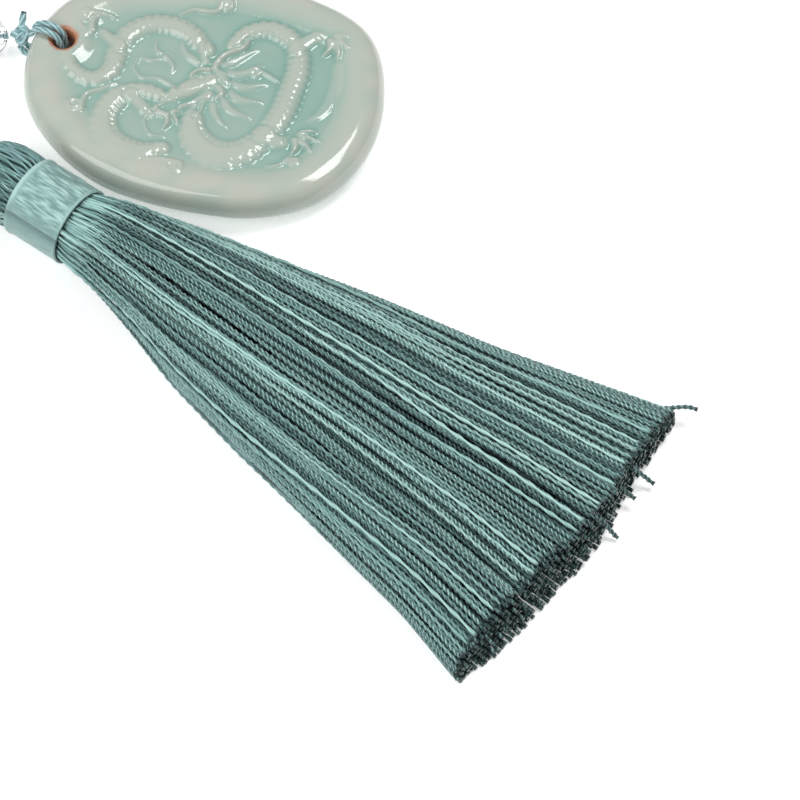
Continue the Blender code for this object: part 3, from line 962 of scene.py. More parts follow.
    def _stray(self, along: float, across: float, height: float, bend: float,
               chance: np.random.Generator) -> YarnPath:
        """Trace a yarn that was cut long and sticks out of the end.

        Args:
            along: Distance along of its end.
            across: Distance across of its end.
            height: Height of its end.
            bend: How far it bends aside.
            chance: Source of the scatter.

        Returns:
            The path.
        """
        high = float(np.interp(along, *np.array(self.upper).T))
        low = float(np.interp(along, *np.array(self.lower).T))
        share = (across - (high + low) / 2) / ((high - low) / 2)
        x = float(np.clip(np.sign(share) * abs(share) ** 1.1 * 0.86, -0.97, 0.97))
        s = np.concatenate([np.linspace(50.0, along - 6.0, 8), np.linspace(along - 4.5, along, 9)])
        lateral, skin = self._skin(s, np.full_like(s, x))
        out = smooth_step(along - 5.0, along, s)
        z = skin * 0.75 * (1 - out) + height * out
        lateral = lateral * (1 - out) + (across + bend * (out - 1)) * out
        tip = 0.45 * smooth_step(along - 3.0, along - 2.0, s) + 0.55 * smooth_step(along - 0.5, along, s)
        return YarnPath(tassel_frame(s, lateral, z), np.full_like(s, 0.4), 0.3, chance.uniform(0, TAU), tip)

    def under_paths(self) -> list[YarnPath]:
        """Trace the plain yarns that fill the pile below the plied ones.

        Returns:
            The paths.
        """
        chance = np.random.default_rng(self.seed + 1)
        columns = self.columns - 8
        paths = []
        for row in range(self.under_rows):
            depth = 0.24 + 0.74 * (row + 0.2) / (self.under_rows - 0.8)
            for k in range(columns):
                x = float(np.clip((k + 0.5 + 0.5 * (row % 2)) / (columns + 0.5) * 2 - 1
                                  + chance.normal(0, 0.3) / columns, -0.98, 0.98))
                s = self._spots(self._cut(x, depth, chance), 0.5)
                # Painted shade: the yarns under the plied ones take the darkest tone.
                paths.append(self._path(np.full_like(s, x), s, depth, np.zeros_like(s), 0.0, 0.0, chance))
        return paths

    def build(self, twist: TwistedYarn, look: bpy.types.Material, layout: Layout) -> None:
        """Lay the skirt's yarns.

        Args:
            twist: The yarn tree.
            look: The yarn's material.
            layout: The layout.
        """
        top = self.top_paths()
        share = math.ceil(len(top) / 4)
        for number in range(4):
            piece = twist.lay(f"skirt_yarns_{number + 1}", top[number * share:(number + 1) * share],
                              self.top_yarn, look, layout)
            Shape.finish(piece, look, "tassel_yarn", "tassel")
        piece = twist.lay("skirt_under_yarns", self.under_paths(), self.under_yarn, look, layout)
        Shape.finish(piece, look, "tassel_yarn", "tassel")


@dataclass
class TasselHead:
    """Yarns folded over into a round head, lying along it.

    Attributes:
        profile: Distance along and radius, from under the band to the tip.
        yarns: Yarns round the head.
        radius: Radius of a yarn.
    """

    profile: tuple = ((-8.6, 5.25), (-9.6, 5.4), (-10.4, 5.72), (-12.9, 5.82), (-15.4, 5.42), (-17.3, 4.35),
                      (-18.6, 2.75), (-19.15, 1.25), (-19.25, 0.45))
    yarns: int = 78
    radius: float = 0.25
    spec: YarnSpec = YarnSpec(3.4, 0.36, 2, 6, 0.25)

    def build(self, twist: TwistedYarn, look: bpy.types.Material, layout: Layout) -> None:
        """Lay the head's yarns and the bundle under them.

        Args:
            twist: The yarn tree.
            look: Its material.
            layout: The layout.
        """
        chance = np.random.default_rng(31)
        line = smooth_line(self.profile, 0.9)
        paths = []
        for k in range(self.yarns):
            angle = TAU * (k + chance.normal(0, 0.12)) / self.yarns
            turn = angle + 0.05 * np.sin(np.arange(len(line)) * 0.5 + chance.uniform(0, TAU))
            reach = line[:, 1] - self.radius - 0.12 * (k % 2)
            reach = np.maximum(reach, 0.12)
            z = TASSEL_Z + reach * np.sin(turn)
            points = tassel_frame(line[:, 0], reach * np.cos(turn), z)
            thick = self.radius * np.clip(line[:, 1] / 3.2, 0.35, 1.0)
            # Painted light: yarns on the side facing the camera and the light get a lighter tone in a light and
            # dark hatch, and are pressed less.
            front = float(smooth_step(math.radians(95), math.radians(135), np.array(angle)))
            tone = float(np.clip(0.22 + 0.16 * front + front * chance.choice((-0.25, 0.5))
                                 + chance.normal(0, 0.06), 0, 1))
            pressed = np.full(len(points), 0.75 - 0.5 * front)
            begin = chance.uniform(0, TAU)
            paths.append(YarnPath(points, thick, tone, begin, None, pressed, 1.0 - 0.7 * pressed))
        head = twist.lay("head_yarns", paths, self.spec, look, layout)
        Shape.finish(head, look, "tassel_yarn", "tassel")
        core = self._bundle(layout)
        # Painted shade: the bundle under the head's yarns takes the darkest tone and painted groove shade all over.
        Shape.mark(core, "tone", np.zeros(len(core.data.vertices)))
        Shape.mark(core, "groove", np.full(len(core.data.vertices), 0.6))
        Shape.finish(core, look, "tassel_yarn", "tassel")

    def _bundle(self, layout: Layout) -> bpy.types.Object:
        """Make the pressed bundle that the head and the neck close up over.

        Args:
            layout: The layout.

        Returns:
            The piece.
        """
        rows = [(0.6, 0.01), (0.6, 3.6), (-0.4, 4.6), (-8.0, 4.7), (-9.8, 4.8), (-10.6, 5.2), (-13.0, 5.25),
                (-15.3, 4.85), (-17.0, 3.9), (-18.2, 2.4), (-18.75, 1.1), (-18.85, 0.01)]
        angles = np.linspace(0, TAU, 48, endpoint=False)
        points = np.concatenate([
            tassel_frame(np.full(48, s), r * np.cos(angles), TASSEL_Z + r * np.sin(angles)) for s, r in rows])
        piece = Shape.mesh("tassel_bundle", points, [Shape.grid_faces(len(rows), 48, True)], layout)
        Shape.outward(piece)
        return piece


@dataclass
class NeckBand:
    """Satin ribbon wound round the neck.

    Attributes:
        start: Distance along of the edge on the head's side.
        inner: Inner radius.
        outer: Outer radius of the flat cloth.
        selvedge: Width of the raised edge on the head's side.
        seam: Angle of the lapped end, from the left side over the top.
        columns: Corners round the band.
        rows: Corners along the band.
    """

    start: float = -9.2
    inner: float = 5.5
    outer: float = 5.84
    selvedge: float = 0.85
    seam: float = math.radians(150.0)
    columns: int = 260
    rows: int = 56

    def build(self, look: bpy.types.Material, layout: Layout) -> None:
        """Make the ribbon with its edges, puckers and lap, and mark its painted highlight and painted shade.

        Args:
            look: Its material.
            layout: The layout.
        """
        angle = np.linspace(0, TAU, self.columns, endpoint=False)[None, :]
        s = np.linspace(self.start, 0.0, self.rows)[:, None]
        past = np.mod(self.seam - angle, TAU)
        lap = 0.12 * smooth_step(0.0, 0.05, past) * (1 - smooth_step(2.4, 4.4, past))
        wide = self.start + self.selvedge
        ridge = 0.13 * smooth_step(self.start - 0.05, self.start + 0.22, s)
        ridge = ridge * (1 - smooth_step(wide - 0.3, wide, s))
        hem = 0.08 * smooth_step(-0.42, -0.28, s)
        middle = smooth_step(wide - 0.1, wide + 0.7, s) * (1 - smooth_step(-0.6, -0.25, s))
        round_mm = angle * self.outer
        pucker = soft_noise(round_mm / 0.7, s / 4.5 + 0.03 * round_mm, 5, 30)
        fine = soft_noise(round_mm / 0.3, s / 2.2, 6, 30)
        open_side = smooth_step(0.1, 0.45, past) * (1 - smooth_step(2.6, 4.0, past))
        cloth = middle * open_side * (0.06 * pucker + 0.035 * fine)
        edge = (smooth_step(self.start, self.start + 0.14, s) - 1) * 0.2 - smooth_step(-0.12, 0.0, s) * 0.16
        radius = self.outer + lap + ridge + hem + cloth + edge - 0.05
        shell = tassel_frame(s + 0 * angle, radius * np.cos(angle), TASSEL_Z + radius * np.sin(angle))
        inner = [tassel_frame(np.full(self.columns, at), self.inner * np.cos(angle[0]),
                              TASSEL_Z + self.inner * np.sin(angle[0])) for at in (0.0, self.start)]
        points = np.concatenate([shell.reshape(-1, 3), *inner])
        faces = Shape.grid_faces(self.rows + 2, self.columns, True)
        close = Shape.grid_faces(2, self.columns, True)
        last = (self.rows + 1) * self.columns
        close = np.where(close >= self.columns, close - self.columns, close + last)
        piece = Shape.mesh("ribbon_band", points, [faces, close], layout)
        spare = np.zeros(2 * self.columns)
        # Painted highlight on the raised selvedge, hem and puckers, held down away from the band's open face.
        lift = np.clip(0.34 + 4.0 * ridge + 3.0 * hem + 0.7 * (pucker * 0.55 + fine * 0.45) * middle, 0, 1)
        lift = lift * (0.25 + 0.75 * open_side)
        # Painted shade below the lapped end and on the upper side, with a painted shadow line at the lap's edge.
        under = smooth_step(4.4, 5.9, past)
        shade = 0.1 * under + 0.45 * smooth_step(6.0, 6.25, past)
        shade = shade + 0.3 * smooth_step(1.3, 2.0, past) * (1 - under)
        Shape.mark(piece, "lift", np.concatenate([(lift + 0 * s * angle).ravel(), spare]))
        # The band's end faces are marked in full painted shade.
        Shape.mark(piece, "shade", np.concatenate([(shade + 0 * s * angle).ravel(), spare + 1]))
        cloth_place = np.stack(np.broadcast_arrays(round_mm, s, 0.0), -1).reshape(-1, 3)
        Shape.mark_vector(piece, "cloth", np.concatenate([cloth_place, np.zeros((2 * self.columns, 3))]))
        Shape.outward(piece)
        Shape.finish(piece, look, "satin_ribbon", "neck_band")


class Edge(Enum):
    """How the side of a raised stroke is worked."""

    PLAIN = "plain"
    BODY = "body"
    TAPER = "taper"


@dataclass(frozen=True)
class Stroke:
    """One raised form of the relief, laid along a line.

    Attributes:
        line: Columns X, Y and half width, about the plate's centre.
        height: Height of its crest above the ground.
        edge: How its sides are worked.
    """

    line: tuple
    height: float
    edge: Edge = Edge.PLAIN


def claw_foot(x: float, y: float, toes: Sequence[tuple[float, float]]) -> list[Stroke]:
    """Give the strokes of a foot: a pad and curved toes.

    Args:
        x: Place of the pad.
        y: Place of the pad.
        toes: Ends of the toes.

    Returns:
        The strokes.
    """
    made = [Stroke(((x - 0.2, y, 1.05), (x + 0.2, y, 1.0)), 0.72)]
    for end_x, end_y in toes:
        side_x, side_y = -(end_y - y) * 0.18, (end_x - x) * 0.18
        middle = ((x + end_x) / 2 + side_x, (y + end_y) / 2 + side_y, 0.5)
        made.append(Stroke(((x, y, 0.6), middle, (end_x, end_y, 0.16)), 0.75))
    return made


def cloud_scroll(x: float, y: float, size: float, turn: float, hand: int,
                 tail: Sequence[tuple]) -> list[Stroke]:
    """Give the strokes of a curled cloud with its tail.

    Args:
        x: Centre of the curl.
        y: Centre of the curl.
        size: Radius of the curl.
        turn: Angle at which the curl leaves.
        hand: 1 for counterclockwise, -1 for clockwise.
        tail: Further points, with half widths.

    Returns:
        The strokes.
    """
    curl = []
    for k in range(9):
        t = k / 8
        angle = turn + hand * (t - 1) * 1.5 * TAU * 0.9
        reach = size * (0.22 + 0.78 * t)
        curl.append((x + reach * math.cos(angle), y + reach * math.sin(angle), 0.3 + 0.12 * t))
    return [Stroke(((x - 0.05, y, size * 1.05), (x + 0.05, y, size * 1.05)), 0.3), Stroke((*curl, *tail), 0.56)]


@dataclass
class Relief:
    """Raised dragon among clouds, as a height map on the plate.

    Attributes:
        half_x: Half of the map's width.
        half_y: Half of the map's height.
        cell: Size of one cell.
    """

    half_x: float = 28.0
    half_y: float = 22.5
    cell: float = 0.12
    clouds: tuple = (
        (-3.9, -14.3, 1.35, 0.5, 1, ((-5.6, -13.0, 0.5), (-7.6, -12.9, 0.4), (-9.2, -12.0, 0.18))),
        (-18.2, -3.4, 1.25, -0.6, -1, ((-16.6, -1.4, 0.45), (-14.6, -0.6, 0.42), (-12.2, 0.6, 0.2))),
        (3.4, 14.2, 1.15, 3.6, 1, ((1.2, 13.2, 0.45), (-1.2, 13.6, 0.42), (-3.4, 12.9, 0.2))),
        (-16.9, 12.4, 1.0, 0.4, -1, ((-14.6, 12.8, 0.35), (-12.8, 12.2, 0.2))),
        (13.4, -13.2, 0.9, 2.4, -1, ((11.2, -13.9, 0.35), (9.4, -14.0, 0.2))),
        (7.6, 2.4, 0.95, 2.0, 1, ((9.4, 2.0, 0.35), (11.0, 0.8, 0.2))),
    )
    streamer: tuple = ((19.6, 3.4, 0.9), (19.5, 0.6, 1.05), (18.6, -2.4, 0.95), (17.2, -4.8, 0.8),
                       (15.6, -6.0, 0.5))
    bodies: tuple = (
        ((-19.2, 8.8, 0.5), (-19.6, 5.6, 0.85), (-18.0, 2.6, 1.2), (-15.3, 1.5, 1.4), (-13.2, 3.2, 1.5),
         (-12.4, 6.4, 1.55), (-10.8, 9.6, 1.65), (-7.6, 11.3, 1.65), (-4.0, 10.9, 1.6), (-1.2, 9.0, 1.5),
         (0.6, 6.4, 1.3)),
        ((-4.8, -2.2, 0.9), (-8.2, -0.9, 1.35), (-11.8, -1.9, 1.8), (-13.8, -5.4, 1.95), (-12.6, -9.2, 1.9),
         (-9.0, -11.2, 1.7), (-5.4, -10.8, 1.1)),
        ((-1.2, -5.2, 1.5), (-0.8, -8.8, 2.3), (1.8, -11.6, 2.6), (5.6, -11.6, 2.3), (8.8, -9.0, 1.95),
         (11.2, -5.2, 1.85), (12.6, -1.2, 1.8), (13.7, 3.2, 1.7), (13.2, 7.4, 1.6), (10.2, 9.9, 1.55),
         (6.8, 9.5, 1.45), (4.6, 7.2, 1.25)),
    )
    legs: tuple = (
        (((-12.0, 7.0, 1.1), (-14.6, 9.6, 0.85), (-15.6, 9.8, 0.7)), (-16.0, 9.9),
         ((-18.2, 11.3), (-17.9, 9.2), (-15.4, 12.2))),
        (((-10.0, -1.6, 1.1), (-7.6, -4.4, 0.95), (-5.4, -5.0, 0.75)), (-4.9, -5.2),
         ((-3.2, -6.6), (-2.9, -4.6), (-5.4, -7.4), (-6.6, -3.2))),
        (((8.8, -8.6, 1.6), (11.0, -9.8, 1.25), (12.8, -9.6, 0.95)), (13.4, -9.6),
         ((16.4, -8.0), (16.9, -9.9), (15.6, -11.6), (13.0, -12.0))),
        (((13.4, 6.4, 1.3), (16.2, 8.6, 1.05), (18.0, 8.0, 0.9)), (18.4, 7.8),
         ((20.9, 8.4), (21.0, 6.4), (19.6, 4.8), (17.4, 5.4))),
    )
    mane: tuple = (
        ((2.8, 3.6, 0.9), (5.0, 4.8, 0.7), (8.0, 6.6, 0.15)),
        ((3.2, 2.2, 0.9), (5.8, 2.2, 0.75), (8.8, 3.8, 0.15)),
        ((3.4, 0.8, 0.9), (6.2, -0.2, 0.75), (9.4, 0.4, 0.15)),
        ((3.2, -0.6, 0.9), (5.6, -2.4, 0.75), (8.8, -2.9, 0.15)),
        ((2.6, -1.6, 0.85), (4.2, -4.2, 0.65), (7.0, -5.6, 0.15)),
        ((1.6, -2.4, 0.75), (2.0, -5.0, 0.55), (3.6, -7.2, 0.12)),
        ((-0.4, 4.2, 0.7), (-2.6, 6.0, 0.55), (-3.0, 8.2, 0.14)),
        ((0.6, 4.4, 0.6), (-0.2, 6.6, 0.5), (0.8, 8.6, 0.12)),
    )
    face: tuple = (
        (0.85, ((1.6, 3.0, 0.7), (3.2, 5.4, 0.55), (5.8, 6.6, 0.42), (6.8, 8.2, 0.16))),
        (0.8, ((1.5, 0.8, 2.6), (0.6, 1.0, 2.5))),
        (0.9, ((0.4, 0.6, 2.0), (-2.0, -0.6, 1.55), (-3.8, -1.4, 1.2))),
        (0.7, ((1.2, -1.6, 1.0), (-0.8, -2.9, 0.75), (-3.0, -3.7, 0.42))),
        (1.0, ((1.0, 2.7, 0.55), (-0.4, 2.7, 0.48), (-1.6, 1.8, 0.33))),
        (1.0, ((-4.1, -0.7, 0.5), (-4.0, -0.8, 0.5))),
        (1.04, ((-0.15, 1.55, 0.44), (-0.1, 1.5, 0.44))),
        (0.78, ((2.4, -0.4, 0.75), (3.0, -1.4, 0.55), (2.2, -2.2, 0.4))),
        (0.6, ((-5.3, 5.2, 1.0), (-5.2, 5.25, 1.0))),
        (0.4, ((-5.3, 5.2, 0.5), (-6.8, 6.6, 0.34), (-6.6, 8.2, 0.12))),
        (0.4, ((-5.3, 5.2, 0.5), (-7.2, 4.6, 0.34), (-8.8, 5.4, 0.12))),
        (0.4, ((-5.3, 5.2, 0.5), (-4.2, 3.6, 0.34), (-4.6, 2.4, 0.12))),
    )
    whiskers: tuple = (
        ((-3.8, -0.2, 0.34), (-6.2, 1.4, 0.3), (-8.6, 1.6, 0.26), (-9.9, 3.4, 0.2), (-9.2, 5.2, 0.12)),
        ((-3.6, -2.4, 0.34), (-5.6, -3.0, 0.3), (-8.0, -5.4, 0.26), (-7.4, -8.2, 0.2), (-5.2, -8.8, 0.12)),
        ((-0.6, -3.4, 0.4), (-1.6, -4.4, 0.3), (-2.6, -4.9, 0.12)),
        ((0.2, -3.2, 0.4), (-0.2, -4.6, 0.3), (-0.9, -5.6, 0.12)),
    )

    def strokes(self) -> list[Stroke]:
        """List the dragon's and the clouds' strokes.

        Returns:
            The strokes, lowest first.
        """
        made: list[Stroke] = []
        for scroll in self.clouds:
            made += cloud_scroll(*scroll)
        made.append(Stroke(self.streamer, 0.26))
        for line in self.bodies:
            made.append(Stroke(line, 0.8, Edge.BODY))
        for leg, pad, toes in self.legs:
            made.append(Stroke(leg, 0.62))
            made += claw_foot(*pad, toes)
        for line in self.mane:
            made.append(Stroke(line, 0.5, Edge.TAPER))
        for height, line in self.face:
            made.append(Stroke(line, height))
        for line in self.whiskers:
            made.append(Stroke(line, 0.42))
        return made

    def carve(self) -> None:
        """Fill the height map and the glaze's depth from the strokes."""
        x = np.arange(-self.half_x, self.half_x, self.cell)
        y = np.arange(-self.half_y, self.half_y, self.cell)
        self.x, self.y = np.meshgrid(x, y)
        height = np.zeros_like(self.x)
        for stroke in self.strokes():
            self._raise(height, stroke)
        self.height = self._blur(height, 0.15)
        hollow = np.maximum(0.0, self._blur(self.height, 0.55) - self.height)
        self.hollow = self._blur(hollow, 0.12)

    def _raise(self, height: np.ndarray, stroke: Stroke) -> None:
        """Raise the map by one stroke.

        Args:
            height: The map, changed in place.
            stroke: The stroke.
        """
        line = smooth_line(stroke.line, 0.45)
        reach = float(line[:, 2].max()) + 1.2
        left, low = line[:, 0].min() - reach, line[:, 1].min() - reach
        right, high = line[:, 0].max() + reach, line[:, 1].max() + reach
        c0, c1 = (max(0, int((v + self.half_x) / self.cell)) for v in (left, right))
        r0, r1 = (max(0, int((v + self.half_y) / self.cell)) for v in (low, high))
        gx, gy = self.x[r0:r1, c0:c1], self.y[r0:r1, c0:c1]
        best = np.full(gx.shape, 1e9)
        width, run, side = (np.zeros(gx.shape) for _ in range(3))
        done = 0.0
        for a, b in zip(line, line[1:]):
            dx, dy = b[0] - a[0], b[1] - a[1]
            length = math.hypot(dx, dy) + 1e-9
            t = np.clip(((gx - a[0]) * dx + (gy - a[1]) * dy) / length ** 2, 0, 1)
            px, py = gx - (a[0] + t * dx), gy - (a[1] + t * dy)
            away = np.hypot(px, py)
            near = away < best
            best = np.where(near, away, best)
            width = np.where(near, a[2] + t * (b[2] - a[2]), width)
            run = np.where(near, done + t * length, run)
            side = np.where(near, np.sign(dx * py - dy * px), side)
            done += length
        lift = self._section(best, width, run, side, done, stroke)
        part = height[r0:r1, c0:c1]
        cut = 0.3 * np.exp(-((best - width - 0.12) / 0.2) ** 2) * np.clip(part / 0.3, 0, 1)
        height[r0:r1, c0:c1] = np.maximum(part - cut, lift)

    @staticmethod
    def _section(away: np.ndarray, width: np.ndarray, run: np.ndarray, side: np.ndarray, length: float,
                 stroke: Stroke) -> np.ndarray:
        """Give the height across a stroke.

        Args:
            away: Distance from the stroke's line.
            width: Half width there.
            run: Distance along the stroke.
            side: 1 on its left, -1 on its right.
            length: Length of the stroke.
            stroke: The stroke.

        Returns:
            The height.
        """
        if stroke.edge is Edge.BODY:
            saw = np.mod(run / 1.15, 1.0)
            comb = 0.32 * (1 - abs(2 * saw - 1)) * (side < 0)
            share = np.clip(away / (width + comb), 0, 1)
            dome = np.sqrt(1 - share ** 2)
            belly = (side > 0) * smooth_step(0.38, 0.52, share)
            ribs = 0.14 * belly * (np.cos(TAU * run / 1.2) - 0.7)
            groove = -0.12 * np.exp(-((share - 0.42) / 0.08) ** 2) * (side > 0)
            across = side * away
            scales = 0.045 * np.cos(TAU * (run / 1.1)) * np.cos(TAU * across / 1.2)
            scales = scales * (1 - belly) * (share < 0.85)
            fin_base = -0.1 * np.exp(-((share - 0.8) / 0.06) ** 2) * (side < 0)
            fade = smooth_step(0.0, 1.2, run) * smooth_step(0.0, 1.2, length - run)
            return stroke.height * dome + (ribs + groove + scales + fin_base) * fade * (share < 1)
        share = np.clip(away / np.maximum(width, 1e-3), 0, 1)
        dome = np.sqrt(1 - share ** 2)
        if stroke.edge is Edge.TAPER:
            lines = 0.08 * np.cos(TAU * share * 1.0) * (1 - run / max(length, 1e-6))
            return stroke.height * dome * (1 - 0.35 * run / max(length, 1e-6)) + lines * (share < 1)
        return stroke.height * dome

    def _blur(self, field_map: np.ndarray, sigma: float) -> np.ndarray:
        """Soften a map as a glaze does.

        Args:
            field_map: The map.
            sigma: Reach in millimetres.

        Returns:
            The softened map.
        """
        cells = sigma / self.cell
        reach = max(1, int(3 * cells))
        weights = np.exp(-0.5 * (np.arange(-reach, reach + 1) / cells) ** 2)
        weights /= weights.sum()
        result = field_map
        for axis in (0, 1):
            total = np.zeros_like(result)
            for shift, weight in zip(range(-reach, reach + 1), weights):
                total += weight * np.roll(result, shift, axis)
            result = total
        return result

    def read(self, field_map: np.ndarray, x: np.ndarray, y: np.ndarray) -> np.ndarray:
        """Read a map between its cells.

        Args:
            field_map: The map.
            x: Places about the plate's centre.
            y: Places about the plate's centre.

        Returns:
            The values.
        """
        gx = np.clip((x + self.half_x) / self.cell, 0, field_map.shape[1] - 1.001)
        gy = np.clip((y + self.half_y) / self.cell, 0, field_map.shape[0] - 1.001)
        c, r = gx.astype(int), gy.astype(int)
        tx, ty = gx - c, gy - r
        low = field_map[r, c] * (1 - tx) + field_map[r, c + 1] * tx
        high = field_map[r + 1, c] * (1 - tx) + field_map[r + 1, c + 1] * tx
        return low * (1 - ty) + high * ty


@dataclass
class CeramicPlate:
    """Pebble-shaped glazed plate with a sunk ground and a raised dragon.

    Attributes:
        centre: Centre in the layout.
        radii: Outline radius every 22.5 degrees, counterclockwise from +X.
        rim: Inset from the outline and height, over the rim to the ground.
        under: Inset and height, from the widest line to the foot.
        ground: Height of the ground.
        hole: Centre of the cord hole.
        hole_radius: Radius of the cord hole.
        columns: Cells across the top.
        rows: Cells up the top.
    """

    centre: tuple = (-28.5, 49.2)
    radii: tuple = (26.3, 26.3, 23.1, 20.9, 20.4, 22.0, 25.4, 26.6, 25.6, 23.0, 21.0, 19.7, 20.1, 22.5,
                    25.2, 26.1)
    rim: tuple = ((0.0, 4.0), (0.05, 4.5), (0.2, 5.05), (0.6, 5.85), (1.2, 6.45), (2.0, 6.82), (3.0, 6.98),
                  (3.9, 6.97), (5.0, 6.78), (6.2, 6.48), (7.4, 6.26), (8.8, 6.17), (30.0, 6.15))
    under: tuple = ((0.06, 3.4), (0.3, 2.75), (0.8, 2.1), (1.5, 1.7), (2.6, 1.48), (6.6, 1.4), (7.6, 0.9),
                    (9.0, 0.25), (10.0, 0.0))
    ground: float = 6.15
    hole: tuple = (-48.7, 57.5)
    hole_radius: float = 1.75
    columns: int = 300
    rows: int = 236

    def _outline(self, angle: np.ndarray) -> np.ndarray:
        """Read the outline's radius at angles.

        Args:
            angle: Angles about the plate's centre.

        Returns:
            The radius at each angle.
        """
        count = len(self.radii)
        place = np.mod(angle, TAU) / TAU * count
        first = np.floor(place).astype(int)
        t = place - first
        table = np.array(self.radii)
        a, b, c, d = (table[(first + k) % count] for k in (-1, 0, 1, 2))
        return 0.5 * (2 * b + (c - a) * t + (2 * a - 5 * b + 4 * c - d) * t ** 2
                      + (3 * b - a - 3 * c + d) * t ** 3)

    def _top(self, x: np.ndarray, y: np.ndarray, inset: np.ndarray, relief: Relief) -> np.ndarray:
        """Height of the top at places about the centre.

        Args:
            x: Distance across.
            y: Distance up the plate.
            inset: Distance in from the outline.
            relief: The raised picture.

        Returns:
            The height at each place.
        """
        base = np.interp(inset, *smooth_line(self.rim, 0.04).T)
        base = base + 0.05 * soft_noise(x / 9.0, y / 9.0, 3) * smooth_step(0.5, 3.0, inset)
        lift = relief.read(relief.height, x, y)
        keep = smooth_step(1.4, 3.2, inset)
        steep = np.clip((base - self.ground) / 0.83, 0, 1)
        top = base + lift * keep * (1 - 0.62 * steep)
        away = np.hypot(x - (self.hole[0] - self.centre[0]), y - (self.hole[1] - self.centre[1]))
        shoulder = 1 - smooth_step(2.6, 5.2, away)
        top = top * (1 - shoulder) + (np.maximum(base, 6.88)) * shoulder
        lip = np.clip((away - self.hole_radius) / 0.75, 0, 1)
        return top - 0.42 * (1 - lip) ** 2

    def _tints(self, x: np.ndarray, y: np.ndarray, z: np.ndarray, relief: Relief) -> tuple:
        """Give glaze depth with painted shade on the side walls, bare clay, and the darker brown inside the
        hole and on the foot, at places about the centre.

        Args:
            x: Distance across.
            y: Distance up the plate.
            z: Height of the top.
            relief: The raised picture.

        Returns:
            The three values at each place.
        """
        reach = self._outline(np.arctan2(y, x))
        inset = reach - np.hypot(x, y)
        sunk = np.clip((6.98 - z) / 0.83, 0, 1)
        right = smooth_step(-4.0, 16.0, x + 0.3 * y)
        inner = np.clip((inset - 2.6 + 0.6 * right) / (5.2 - 3.0 * right), 0, 1) ** 0.9
        inner = inner * inner * (3 - 2 * inner)
        hollow = relief.read(relief.hollow, x, y)
        spread = 0.74 + 0.2 * right
        pool_and_side_shade = inner * (0.16 + sunk ** 1.2 * 0.56 + hollow * 2.0) * spread
        rim_wash = 0.10 * soft_noise(x / 6.0, y / 6.0, 11) + 0.08
        pool_and_side_shade = np.clip(pool_and_side_shade + rim_wash * (1 - inner), 0, 1)
        # Painted shade: the side walls and the underside are pushed towards the deeper green.
        side = smooth_step(5.2, 3.0, z) * 0.22
        away = np.hypot(x - (self.hole[0] - self.centre[0]), y - (self.hole[1] - self.centre[1]))
        ragged = 0.09 * soft_noise(x / 1.6, y / 1.6, 17)
        clay = 0.9 * (1 - smooth_step(1.95, 2.5, away + ragged))
        # Darker brown inside the hole wall below its lip, and a little on the foot.
        hole_and_foot_dark = (1 - smooth_step(1.72, 1.98, away)) * smooth_step(6.7, 5.9, z)
        foot = smooth_step(1.3, 0.6, z)
        return np.clip(pool_and_side_shade + side, 0, 1), np.clip(clay + foot * 0.8, 0, 1), np.clip(hole_and_foot_dark + foot * 0.1, 0, 1)

    def build(self, look: bpy.types.Material, layout: Layout) -> None:
        """Make the plate, bore it and mark its glaze.

        Args:
            look: Its material.
            layout: The layout.
        """
        relief = Relief()
        relief.carve()
        u, v = np.meshgrid(np.linspace(-1, 1, self.columns + 1), np.linspace(-1, 1, self.rows + 1))
        dx, dy = u * np.sqrt(1 - v * v / 2), v * np.sqrt(1 - u * u / 2)
        angle = np.arctan2(dy, dx)
        reach = self._outline(angle)
        share = np.minimum(np.hypot(dx, dy), 1.0)
        share = 1 - (1 - share) ** 1.06
        x, y = reach * share * np.cos(angle), reach * share * np.sin(angle)
        inset = reach * (1 - share)
        z = self._top(x, y, inset, relief)
        points = [np.stack([x, y, z], -1).reshape(-1, 3)]
        faces = [Shape.grid_faces(self.rows + 1, self.columns + 1, False)]
        wide = self.columns + 1
        rim = np.concatenate([
            np.arange(wide), np.arange(1, self.rows + 1) * wide + wide - 1,
            self.rows * wide + np.arange(wide - 2, -1, -1), np.arange(self.rows - 1, 0, -1) * wide])
        edge_angle, edge_reach = angle.ravel()[rim], reach.ravel()[rim]
        count, above, total = len(rim), rim, len(points[0])
        for sunk, height in self.under:
            r = edge_reach - sunk
            points.append(np.stack([r * np.cos(edge_angle), r * np.sin(edge_angle), np.full(count, height)], -1))
            below = total + np.arange(count)
            faces.append(np.stack([above, below, np.roll(below, -1), np.roll(above, -1)], -1))
            above, total = below, total + count
        points.append(np.zeros((1, 3)))
        faces.append(np.stack([above, np.full(count, total), np.roll(above, -1)], -1))
        corners = np.concatenate(points) + np.array([*self.centre, 0.0])
        piece = Shape.mesh("plate_celadon", corners, faces, layout)
        Shape.outward(piece)
        self._bore(piece, layout)
        self._mark(piece, relief, layout)
        piece.data.shade_smooth()
        Shape.finish(piece, look, "celadon_glaze", "ceramic_plate")

